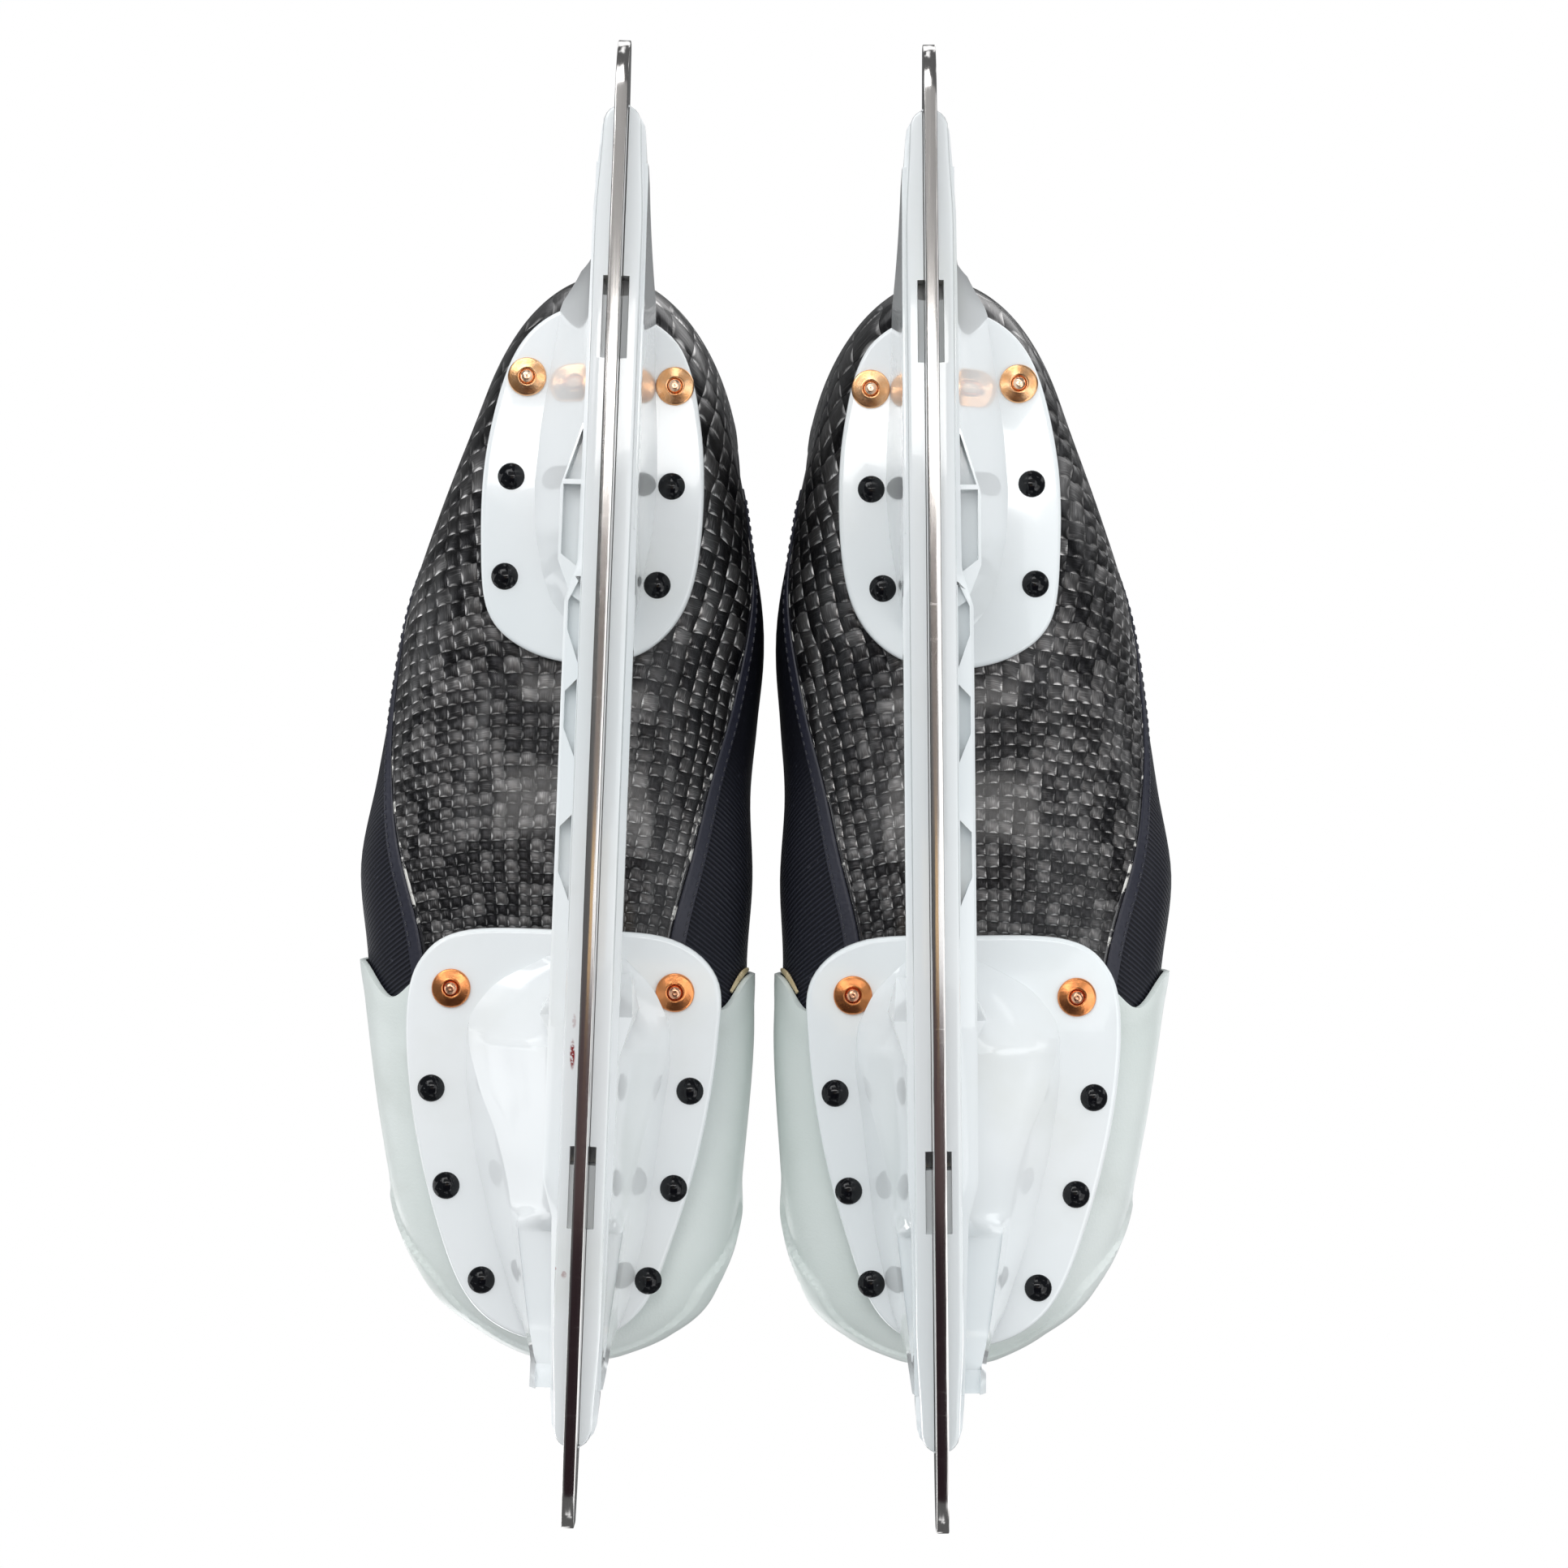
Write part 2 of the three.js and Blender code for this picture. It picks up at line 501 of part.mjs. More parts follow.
// ---------------------------------------------------------------- assembly
const PIECES = [
  ['holder', holder(), MATERIALS.whitePlastic],
  ['runner', runner(), MATERIALS.steel],
  ['carbon_shell', carbonShell(), MATERIALS.carbon],
  ['toe_cap', toeCap(), MATERIALS.capPlastic],
  ['lateral_quarter', quarter(1), MATERIALS.darkSkin],
  ['medial_quarter', quarter(-1), MATERIALS.darkSkin],
  ['tendon_guard', tendonGuard(), MATERIALS.darkSkin],
  ['tongue', tongue(), MATERIALS.darkSkin],
  ['ankle_liner', ankleLiner(), MATERIALS.lining],
  ['insole_board', insoleBoard(), MATERIALS.lining],
  ['footbed', footbed(), MATERIALS.lining],
];
for (const end of ['front', 'rear']) {
  PIECES.push([`${end}_runner_bolt`, runnerBolt(end), MATERIALS.zinc]);
  PIECES.push([`${end}_runner_nut`, runnerNut(end), MATERIALS.zinc]);
  for (const [i, place] of COPPER[end].entries()) {
    PIECES.push([`${end}_copper_rivet_${i + 1}`, copperRivet(end, place), MATERIALS.copper]);
  }
  for (const [i, place] of BLACK[end].entries()) {
    PIECES.push([`${end}_black_rivet_${i + 1}`, blackRivet(end, place), MATERIALS.blackSteel]);
  }
}

/** One skate as a group; the right one is the mirror image of the left. */
function skate(prefix, side) {
  const placed = new THREE.Group();
  placed.position.x = SKATE_X;
  placed.rotation.z = TOE_OUT;
  for (const [name, geometry, material] of PIECES) {
    const mesh = new THREE.Mesh(geometry, material);
    mesh.name = `${prefix}_${name}`;
    placed.add(mesh);
  }
  const mirrored = new THREE.Group();
  mirrored.scale.x = side;
  mirrored.add(placed);
  return mirrored;
}

const pair = new THREE.Group();
pair.add(skate('left', 1), skate('right', -1));
export default pair;
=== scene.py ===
"""Looks for a pair of long-blade ice skates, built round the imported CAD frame.

One skate is made in its own frame, in millimetres: +x lateral, +y heel, z up, the runner in the plane
x = 0. Each point then goes to its place on the left side, or to the mirror image of it on the right.
"""
import json
import math

import bmesh
import bpy
import numpy as np
from mathutils import Matrix, Vector

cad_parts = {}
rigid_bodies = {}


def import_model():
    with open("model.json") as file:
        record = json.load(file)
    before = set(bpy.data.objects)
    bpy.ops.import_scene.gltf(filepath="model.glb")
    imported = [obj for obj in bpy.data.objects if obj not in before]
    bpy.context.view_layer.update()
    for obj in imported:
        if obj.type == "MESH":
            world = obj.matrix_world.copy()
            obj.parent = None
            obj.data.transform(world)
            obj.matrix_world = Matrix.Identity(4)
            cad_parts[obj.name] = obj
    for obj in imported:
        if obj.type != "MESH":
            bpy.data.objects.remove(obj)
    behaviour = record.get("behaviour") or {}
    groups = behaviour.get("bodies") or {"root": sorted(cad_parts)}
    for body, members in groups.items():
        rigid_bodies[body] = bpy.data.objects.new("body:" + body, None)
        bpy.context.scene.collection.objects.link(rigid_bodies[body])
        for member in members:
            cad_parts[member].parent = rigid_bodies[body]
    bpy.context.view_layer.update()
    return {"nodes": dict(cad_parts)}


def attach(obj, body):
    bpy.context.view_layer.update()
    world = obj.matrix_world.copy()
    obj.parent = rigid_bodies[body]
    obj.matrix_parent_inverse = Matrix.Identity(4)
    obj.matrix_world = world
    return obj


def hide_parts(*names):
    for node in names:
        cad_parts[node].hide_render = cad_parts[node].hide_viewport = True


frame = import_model()

# ---------------------------------------------------------------- driving dimensions, millimetres
MM = 0.001
SKATE_X = 40.7
TOE_OUT = math.radians(1.35)
SIDES = {"left": 1, "right": -1}
HANDS = {"lateral": 1, "medial": -1}

PLATE = {"front": 52.0, "rear": 60.0, "thick": 3.0}
RUNNER = {"half": 178.5, "thick": 3.0, "top": 18.7}
RAIL_BOTTOM, RAIL_TOP = 11.0, 26.0
TOWER_FOOT = 20.0
INTO_PLATE = 0.6
GROOVE_HALF, GROOVE_ROOF = 1.55, 19.1
LUG_Y = {"front": -97.6, "rear": 112.3}
POCKET = {"half": 3.1, "low": 10.0, "high": 9.9, "deep": 4.6, "roof": 25.2}
COPPER = {"rear": [(24.3, 102.5), (-13.4, 101.5)], "front": [(37, -53.3), (-19.5, -52.3)]}
BLACK = {
    "rear": [(27.4, 77), (-13.5, 76), (28.1, 51.5), (-10.8, 50.7)],
    "front": [(41.1, -78.7), (-24.2, -77), (36.4, -103.1), (-21, -101.7), (26.6, -126.6),
              (-15.5, -125.2)],
}
REAR_PLATE = [(2, 121), (17, 119.5), (28, 108), (34, 84), (34.6, 60), (32, 42), (22, 33), (7, 30),
              (-8, 33.5), (-18, 45), (-21.6, 64), (-20.6, 90), (-14, 112)]
FRONT_PLATE = [(8, -37.6), (34, -38.6), (45, -46), (48.2, -60), (45.9, -84), (39.3, -110), (31.5, -129),
               (21.5, -138.4), (8, -141.8), (-5, -139.8), (-14.8, -131.5), (-21.5, -114), (-27.6, -90),
               (-30.8, -65), (-29.8, -48), (-17, -38.6)]

# The boot is a fan of rings from the toe to above the collar: low point y, z, high point y, z, lateral and
# medial reach, share of the height at which the ring is widest, and how square its lower half is.
RINGS = np.array([
    (-147.0, 70.5, -147.0, 70.5, 4.5, 4.5, 0.5, 2.0),
    (-145.4, 63.5, -145.4, 80, 15.5, -7, 0.5, 2.2),
    (-140.6, 59.6, -140.6, 89, 27.5, -20, 0.48, 2.5),
    (-131.0, 58.0, -131.0, 98, 39.5, -30.0, 0.45, 2.8),
    (-113.0, 57.9, -113.0, 107, 49.0, -35.2, 0.42, 3.0),
    (-90.0, 57.9, -90.0, 113, 54.6, -37.2, 0.4, 3.1),
    (-66.0, 57.9, -66.0, 117, 58.8, -38.2, 0.4, 3.1),
    (-44.0, 58.0, -46.0, 122, 62.0, -37.4, 0.40, 3.1),
    (-22.0, 58.3, -27.0, 131, 64.8, -38.0, 0.40, 3.0),
    (2.0, 60.6, -9.0, 142, 62.0, -36.6, 0.40, 2.9),
    (26.0, 63.4, 5.0, 153, 59.6, -37.6, 0.41, 2.8),
    (56.0, 63.4, 15.0, 163, 56.0, -38.5, 0.43, 2.9),
    (86.0, 63.4, 22.0, 171, 50.0, -35.0, 0.46, 2.6),
    (113.0, 63.5, 27.0, 178, 43.4, -31.0, 0.5, 2.4),
    (127.0, 69.0, 30.0, 183, 41.6, -30.5, 0.52, 2.1),
    (132.6, 84.0, 33.0, 187, 40.6, -30.0, 0.52, 1.95),
    (133.0, 104.0, 36.0, 190, 39.6, -27.6, 0.52, 1.85),
    (130.0, 126.0, 38.0, 193, 39.0, -27.2, 0.52, 1.85),
    (126.4, 147.0, 39.0, 195, 38.6, -27.0, 0.52, 1.9),
    (125.0, 166.0, 39.5, 197, 38.4, -26.8, 0.52, 2.0),
    (125.6, 181.0, 40.0, 201, 38.6, -27.2, 0.52, 2.0),
    (127.0, 194.0, 42.0, 212, 38.2, -26.8, 0.52, 2.0),
])
COLLAR = 20.0
CAP_EDGE = 6.95
THROAT_START = 7.25
COUNTER_TOP = 17.0
HEEL_CORNER = 13.5
SHELL_EDGE = {
    1: [(0, 0.30), (5, 0.17), (7, 0.172), (8, 0.21), (9, 0.32), (10, 0.38), (12, 0.44), (14, 0.46),
        (16, 0.36), (17, 0.2), (20, 0.19), (21, 0.16)],
    -1: [(0, 0.26), (5, 0.13), (7, 0.135), (8, 0.18), (9, 0.25), (10, 0.31), (12, 0.38), (14, 0.42),
         (16, 0.34), (17, 0.2), (20, 0.19), (21, 0.16)],
}
THROAT = [(7, 0.9), (8, 0.87), (10, 0.84), (13, 0.8), (17, 0.77), (21, 0.75)]
BORDER = {"start": 0.006, "width": 0.030, "stitch": 0.024}
# Red paint rubbed off on the left rail: place x, y, half sizes and strength, from the row's centre.
PAINT_MARKS = [(45.7, -65.6, 0.75, 4.2, 1.0), (45.4, -57.6, 0.6, 2.2, 0.35),
               (47.0, -118.6, 0.8, 1.1, 0.5), (49.2, -117.2, 0.45, 0.5, 0.7)]


# ---------------------------------------------------------------- curves and the boot surface
def cubic(table, position):
    """Catmull-Rom value of a table with one row at each whole position."""
    table = np.asarray(table, float)
    position = np.clip(np.asarray(position, float), 0, len(table) - 1)
    i = np.minimum(position.astype(int), len(table) - 2)
    t = (position - i)[..., None]
    before = np.where((i > 0)[..., None], table[np.maximum(i - 1, 0)], 2 * table[i] - table[i + 1])
    after_index = np.minimum(i + 2, len(table) - 1)
    after = np.where((i + 2 < len(table))[..., None], table[after_index], 2 * table[i + 1] - table[i])
    slope_a = (table[i + 1] - before) / 2
    slope_b = (after - table[i]) / 2
    return ((2 * t**3 - 3 * t**2 + 1) * table[i] + (t**3 - 2 * t**2 + t) * slope_a
            + (3 * t**2 - 2 * t**3) * table[i + 1] + (t**3 - t**2) * slope_b)


def eased(pairs, x, window=15):
    """Smooth value of a [position, value] list; a wider window of samples rounds it more."""
    positions, values = np.array(pairs, float).T
    fine = np.linspace(positions[0], positions[-1], 240)
    raw = np.interp(fine, positions, values)
    kernel = np.hanning(window)
    padded = np.pad(raw, window // 2, mode="reflect", reflect_type="odd")
    return np.interp(x, fine, np.convolve(padded, kernel / kernel.sum(), mode="valid"))


def smooth_step(low, high, x):
    t = np.clip((np.asarray(x, float) - low) / (high - low), 0, 1)
    return t * t * (3 - 2 * t)


def shell_edge(k, side):
    return eased(SHELL_EDGE[side], k, 27)


def throat_edge(k):
    return eased(THROAT, k)


def boot(k, share, depth):
    """Points on the boot at ring position k and share of the half turn, a depth under the skin."""
    k, share, depth = np.broadcast_arrays(*(np.asarray(v, float) for v in (k, share, depth)))
    low_y, low_z, high_y, high_z, out_x, in_x, wide, square = np.moveaxis(cubic(RINGS, k), -1, 0)
    up = np.stack([high_y - low_y, high_z - low_z], -1)
    height = np.maximum(np.linalg.norm(up, axis=-1), 1e-6)
    up = up / height[..., None]
    depth = np.minimum(depth, height * 0.45) * smooth_step(-0.2, 1.0, k)
    toe_shift = depth * np.clip((2 - k) / 2, 0, 1)
    angle = np.pi * np.abs(share)
    c, s = np.cos(angle), np.sin(angle)
    power = 2 / np.where(c > 0, square, 2.1)
    bend = np.abs(c) ** power
    rise = np.where(c > 0, wide * (1 - bend), wide + (1 - wide) * bend)
    travel = depth + rise * (height - 2 * depth)
    half = np.maximum((out_x - in_x) / 2 - depth, 0)
    x = (out_x + in_x) / 2 + np.sign(share) * half * np.maximum(s, 0) ** power
    y = low_y + up[..., 0] * travel + toe_shift
    z = low_z + up[..., 1] * travel
    return np.stack([x, y, z], -1)


# ---------------------------------------------------------------- meshes
def linked(name, data):
    """A scene object round some data."""
    obj = bpy.data.objects.new(name, data)
    bpy.context.collection.objects.link(obj)
    return obj


def to_world(points, side):
    """Millimetres in the skate's own frame to metres in the row frame."""
    p = np.asarray(points, float)
    c, s = math.cos(TOE_OUT), math.sin(TOE_OUT)
    x = side * (SKATE_X + p[..., 0] * c - p[..., 1] * s)
    y = p[..., 0] * s + p[..., 1] * c
    return np.stack([x, y, p[..., 2]], -1) * MM


def new_object(name, points, faces, side, uv=None, sharp=40):
    """A mesh object from points in the skate's frame, with outward faces on either side."""
    mesh = bpy.data.meshes.new(name)
    if side < 0:
        faces = [tuple(reversed(f)) for f in faces]
    mesh.from_pydata(to_world(points, side).reshape(-1, 3).tolist(), [], faces)
    if uv is not None:
        layer = mesh.uv_layers.new(name="cloth")
        corners = np.empty(len(mesh.loops), int)
        mesh.loops.foreach_get("vertex_index", corners)
        layer.data.foreach_set("uv", np.asarray(uv, float).reshape(-1, 2)[corners].ravel())
    work = bmesh.new()
    work.from_mesh(mesh)
    bmesh.ops.remove_doubles(work, verts=work.verts, dist=2e-6)
    bmesh.ops.dissolve_degenerate(work, edges=work.edges, dist=1e-7)
    work.to_mesh(mesh)
    work.free()
    mesh.shade_smooth()
    mesh.set_sharp_from_angle(angle=math.radians(sharp))
    return linked(name, mesh)


def grid_faces(rows, columns, start=0, wrap=False, flip=False):
    """Quads over a rows x columns grid of points that starts at a vertex index."""
    span = columns if wrap else columns - 1
    faces = []
    for r in range(rows - 1):
        for c in range(span):
            a = start + r * columns + c
            b = start + r * columns + (c + 1) % columns
            quad = (a, b, b + columns, a + columns)
            faces.append(tuple(reversed(quad)) if flip else quad)
    return faces


def tube_mesh(name, rings, side, sharp=40):
    """A closed solid through a stack of closed rings of points."""
    rings = np.asarray(rings, float)
    rows, columns = rings.shape[:2]
    faces = grid_faces(rows, columns, wrap=True)
    faces.append(tuple(range(columns - 1, -1, -1)))
    faces.append(tuple(range((rows - 1) * columns, rows * columns)))
    obj = new_object(name, rings.reshape(-1, 3), faces, side, sharp=sharp)
    face_outwards(obj)
    return obj


def face_outwards(obj):
    """Turns the faces of a closed mesh outwards."""
    work = bmesh.new()
    work.from_mesh(obj.data)
    bmesh.ops.recalc_face_normals(work, faces=work.faces)
    work.to_mesh(obj.data)
    work.free()


def laid_out(surface):
    """Cloth coordinates in metres for a grid of points, unwrapped without shear, v up the middle."""
    rows, columns = surface.shape[:2]
    mesh = bpy.data.meshes.new("layout")
    mesh.from_pydata((surface.reshape(-1, 3) * MM).tolist(), [], grid_faces(rows, columns))
    obj = linked("layout", mesh)
    bpy.context.view_layer.objects.active = obj
    obj.select_set(True)
    bpy.ops.object.mode_set(mode="EDIT")
    bpy.ops.mesh.select_all(action="SELECT")
    bpy.ops.uv.unwrap(method="CONFORMAL", margin=0)
    bpy.ops.object.mode_set(mode="OBJECT")
    corners = np.empty(len(mesh.loops), int)
    mesh.loops.foreach_get("vertex_index", corners)
    found = np.empty(2 * len(corners))
    mesh.uv_layers.active.data.foreach_get("uv", found)
    flat = np.empty((rows * columns, 2))
    flat[corners] = found.reshape(-1, 2)
    flat = flat.reshape(rows, columns, 2)
    bpy.data.objects.remove(obj)
    middle = columns // 2
    start, end = rows // 3, rows * 2 // 3
    real = np.linalg.norm(np.diff(surface[start:end + 1, middle], axis=0), axis=-1).sum() * MM
    ahead = flat[end, middle] - flat[start, middle]
    size = np.linalg.norm(ahead)
    c, s = ahead[1] / size, ahead[0] / size
    return (flat - flat[start, middle]) @ np.array([[c, s], [-s, c]]) * (real / size)


def measured(surface, start, centre):
    """Cloth coordinates in metres, measured from a row and a column along the grid's own lines."""
    along_k = np.cumsum(np.linalg.norm(np.diff(surface, axis=0, prepend=surface[:1]), axis=-1), axis=0)
    steps = np.linalg.norm(np.diff(surface, axis=1, prepend=surface[:, :1]), axis=-1)
    along_share = np.cumsum(steps, axis=1)
    u = along_share - along_share[:, centre:centre + 1]
    v = along_k - along_k[start:start + 1]
    return np.stack([u, v], -1) * MM


def wall(name, k, shares, outer, inner, side, rim=0.35, wrap=False, even=False, tip=False):
    """A wall that follows the boot between two depths, with softly rounded rims.

    k and shares are grids (rings x steps); outer and inner are depths, single or grids. An even wall
    lays its cloth coordinates out without shear. A wrapped wall with a tip is closed across its first ring.
    """
    k, shares = np.broadcast_arrays(np.asarray(k, float), np.asarray(shares, float))
    outer, inner = (np.broadcast_to(np.asarray(d, float), k.shape) for d in (outer, inner))
    rows, columns = k.shape
    layers = [boot(k, shares, outer), boot(k, shares, inner)]
    points = np.concatenate([layer.reshape(-1, 3) for layer in layers])
    faces = grid_faces(rows, columns, 0, wrap, flip=True)
    faces += grid_faces(rows, columns, rows * columns, wrap)
    half_way = boot(k, shares, (outer + inner) / 2)
    border = [(0, j) for j in range(columns)]
    if wrap:
        loops = [border, [(rows - 1, j) for j in range(columns)]]
    else:
        border += [(i, columns - 1) for i in range(1, rows)]
        border += [(rows - 1, j) for j in range(columns - 2, -1, -1)]
        border += [(i, 0) for i in range(rows - 2, 0, -1)]
        loops = [border]
    if tip:
        faces += [tuple(range(columns)), tuple(range(rows * columns, (rows + 1) * columns))]
        loops = loops[1:]
    for number, loop in enumerate(loops):
        base = len(points)
        here = np.array([half_way[i, j] for i, j in loop])
        inside = np.array([half_way[min(max(i, 1), rows - 2), j if wrap else min(max(j, 1), columns - 2)]
                           for i, j in loop])
        away = here - inside
        away /= np.maximum(np.linalg.norm(away, axis=1, keepdims=True), 1e-9)
        points = np.concatenate([points, here + away * rim])
        count = len(loop)
        for n in range(count):
            m = (n + 1) % count
            (i0, j0), (i1, j1) = loop[n], loop[m]
            top = (i0 * columns + j0, i1 * columns + j1)
            low = tuple(v + rows * columns for v in top)
            quads = [(top[0], top[1], base + m, base + n), (base + n, base + m, low[1], low[0])]
            if number == 1:
                quads = [tuple(reversed(q)) for q in quads]
            faces += quads
    if even:
        flat = laid_out(layers[0])
    else:
        flat = measured(layers[0], np.abs(k[:, 0] - 8).argmin(), np.abs(shares[0]).argmin())
    flat = flat.reshape(-1, 2)
    rim_uv = [np.array([flat[i * columns + j] for i, j in loop]) for loop in loops]
    obj = new_object(name, points, faces, side, uv=np.concatenate([flat, flat, *rim_uv]), sharp=50)
    face_outwards(obj)
    return obj


def spline_outline(points, count):
    """A smooth closed outline through given points."""
    p = np.asarray(points, float)
    n = len(p)
    t = np.linspace(0, n, count, endpoint=False)
    i = t.astype(int)
    f = (t - i)[:, None]
    a, b, c, d = p[(i - 1) % n], p[i], p[(i + 1) % n], p[(i + 2) % n]
    return b + 0.5 * f * (c - a + f * (2 * a - 5 * b + 4 * c - d + f * (3 * (b - c) + d - a)))


def inset_outline(outline, distance):
    """A closed outline moved inwards along its own normals."""
    tangent = np.roll(outline, -1, axis=0) - np.roll(outline, 1, axis=0)
    tangent /= np.linalg.norm(tangent, axis=1, keepdims=True)
    normal = np.stack([-tangent[:, 1], tangent[:, 0]], -1)
    centre = outline.mean(axis=0)
    if ((centre - outline) * normal).sum() < 0:
        normal = -normal
    return outline + normal * distance


def joined(name, parts):
    """One object from several."""
    target = parts[0]
    with bpy.context.temp_override(active_object=target, object=target, selected_objects=parts,
                                   selected_editable_objects=parts):
        bpy.ops.object.join()
    target.name = name
    target.data.name = name
    return target


def cut(obj, cutters):
    """Cuts closed cutters out of a closed object."""
    for cutter in cutters:
        modifier = obj.modifiers.new("cut", "BOOLEAN")
        modifier.operation = "DIFFERENCE"
        modifier.solver = "EXACT"
        modifier.object = cutter
    settle(obj)
    for cutter in cutters:
        bpy.data.objects.remove(cutter)


def settle(obj, sharp=None):
    """Turns an object's modifiers into plain mesh."""
    graph = bpy.context.evaluated_depsgraph_get()
    mesh = bpy.data.meshes.new_from_object(obj.evaluated_get(graph))
    mesh.name = obj.name
    obj.modifiers.clear()
    obj.data = mesh
    if sharp:
        mesh.shade_smooth()
        mesh.set_sharp_from_angle(angle=math.radians(sharp))


# ---------------------------------------------------------------- shader maths
class Value:
    """A shader socket that can be used in Python arithmetic."""

    def __init__(self, shader, socket):
        self.shader = shader
        self.socket = socket

    def math(self, operation, *others):
        return self.shader.node("ShaderNodeMath", {"operation": operation}, dict(enumerate((self, *others))))

    def swapped(self, operation, other):
        return self.shader.node("ShaderNodeMath", {"operation": operation}, {0: other, 1: self})

    def __add__(self, other):
        return self.math("ADD", other)

    def __sub__(self, other):
        return self.math("SUBTRACT", other)

    def __mul__(self, other):
        return self.math("MULTIPLY", other)

    def __truediv__(self, other):
        return self.math("DIVIDE", other)

    def __radd__(self, other):
        return self.swapped("ADD", other)

    def __rsub__(self, other):
        return self.swapped("SUBTRACT", other)

    def __rmul__(self, other):
        return self.swapped("MULTIPLY", other)

    def __pow__(self, other):
        return self.math("POWER", other)

    def step(self, low, high):
        """0 under low, 1 over high, smooth between."""
        return self.shader.node("ShaderNodeMapRange", {"interpolation_type": "SMOOTHSTEP"},
                                {"Value": self, "From Min": low, "From Max": high})


class Shader:
    """Builds one node material."""

    def __init__(self, name):
        self.material = bpy.data.materials.new(name)
        self.material.use_nodes = True
        self.tree = self.material.node_tree
        self.tree.nodes.clear()

    def node(self, kind, settings=None, inputs=None, output=0):
        made = self.tree.nodes.new(kind)
        for key, value in (settings or {}).items():
            if key == "stops":
                set_stops(made.color_ramp, value)
            else:
                setattr(made, key, value)
        for key, value in (inputs or {}).items():
            if isinstance(value, Value):
                self.tree.links.new(value.socket, made.inputs[key])
            else:
                made.inputs[key].default_value = value
        return Value(self, made.outputs[output]) if made.outputs else None

    def position(self, kind="Object"):
        """Object coordinates in metres, or another kind of coordinates."""
        return self.node("ShaderNodeTexCoord", output=kind)

    def axes(self, vector):
        return [self.node("ShaderNodeSeparateXYZ", {}, {0: vector}, output=i) for i in range(3)]

    def cloth(self):
        """The piece's own cloth coordinates u and v, in metres."""
        return self.axes(self.node("ShaderNodeUVMap", {"uv_map": "cloth"}))[:2]

    def vector(self, x, y, z):
        return self.node("ShaderNodeCombineXYZ", {}, {0: x, 1: y, 2: z})

    def noise(self, vector, scale, detail=3.0, rough=0.55, output=0):
        return self.node("ShaderNodeTexNoise", {}, {"Vector": vector, "Scale": scale, "Detail": detail,
                                                    "Roughness": rough}, output)

    def cells(self, vector):
        return self.node("ShaderNodeTexWhiteNoise", {"noise_dimensions": "3D"}, {"Vector": vector})

    def ramp(self, factor, stops):
        return self.node("ShaderNodeValToRGB", {"stops": stops}, {"Fac": factor})

    def blend(self, factor, a, b):
        return self.node("ShaderNodeMix", {"data_type": "RGBA"},
                         {0: factor, 6: paint(a), 7: paint(b)}, output=2)

    def bump(self, height, distance, strength):
        return self.node("ShaderNodeBump", {}, {"Strength": strength, "Distance": distance, "Height": height})

    def finish(self, **sockets):
        """A Principled surface; keys are its socket names with _ for spaces."""
        names = {key.replace("_", " "): paint(value) for key, value in sockets.items()}
        surface = self.node("ShaderNodeBsdfPrincipled", {}, names)
        self.node("ShaderNodeOutputMaterial", {}, {"Surface": surface})
        return self.material


class Sky(Shader):
    """Builds the world's nodes with the same helpers."""

    def __init__(self, world):
        world.use_nodes = True
        self.tree = world.node_tree
        self.tree.nodes.clear()


def paint(value):
    """A colour as four numbers; anything else is left alone."""
    if isinstance(value, (tuple, list)) and len(value) == 3:
        return (*value, 1.0)
    return value


def set_stops(ramp, stops):
    while len(ramp.elements) < len(stops):
        ramp.elements.new(0.5)
    for element, (place, color) in zip(ramp.elements, stops):
        element.position = place
        element.color = paint(color)


# ---------------------------------------------------------------- materials
def white_nylon():
    """Glossy injection-moulded holder plastic with faint staining."""
    s = Shader("white_nylon")
    p = s.position()
    stain = s.noise(p, 22, 5).step(0.52, 0.8)
    cool = s.noise(p, 9, 2).step(0.3, 0.7)
    base = s.blend(cool, (0.84, 0.885, 0.90), (0.89, 0.915, 0.925))
    base = s.blend(stain * 0.35, base, (0.72, 0.74, 0.69))
    smear = s.noise(p, 1100, 3)
    x, y = s.axes(p)[:2]
    for place_x, place_y, half_x, half_y, depth in PAINT_MARKS:
        reach = ((x - place_x * MM) / (half_x * MM)) ** 2 + ((y - place_y * MM) / (half_y * MM)) ** 2
        mark = (1 - reach.step(0.15, 1.0)) * smear.step(0.30, 0.55)
        base = s.blend(mark * depth, base, (0.26, 0.012, 0.014))
    flow = s.noise(p, 60, 2)
    scuff = s.noise(p, 900, 2).step(0.62, 0.75)
    height = flow * 0.5 + scuff * -0.08
    return s.finish(Base_Color=base, Roughness=0.07 + flow * 0.05 + stain * 0.12, Coat_Weight=0.5,
                    Coat_Roughness=0.02, Normal=s.bump(height, 0.00018, 0.35))


def cap_plastic():
    """Satin pale toe cap with grey scuffs."""
    s = Shader("cap_plastic")
    p = s.position()
    x, y, z = s.axes(p)
    streaks = s.noise(s.vector(x * 40, y * 400, z * 40), 1, 4)
    dirt = s.noise(p, 35, 6).step(0.5, 0.78)
    base = s.blend(s.noise(p, 14, 3).step(0.3, 0.7), (0.70, 0.765, 0.735), (0.78, 0.83, 0.81))
    base = s.blend(dirt * 0.4, base, (0.55, 0.585, 0.545))
    grain = s.noise(p, 1500, 2)
    return s.finish(Base_Color=base, Roughness=0.34 + dirt * 0.15 + streaks * 0.08,
                    Normal=s.bump(grain * 0.6 + streaks * 0.4, 0.00025, 0.5))


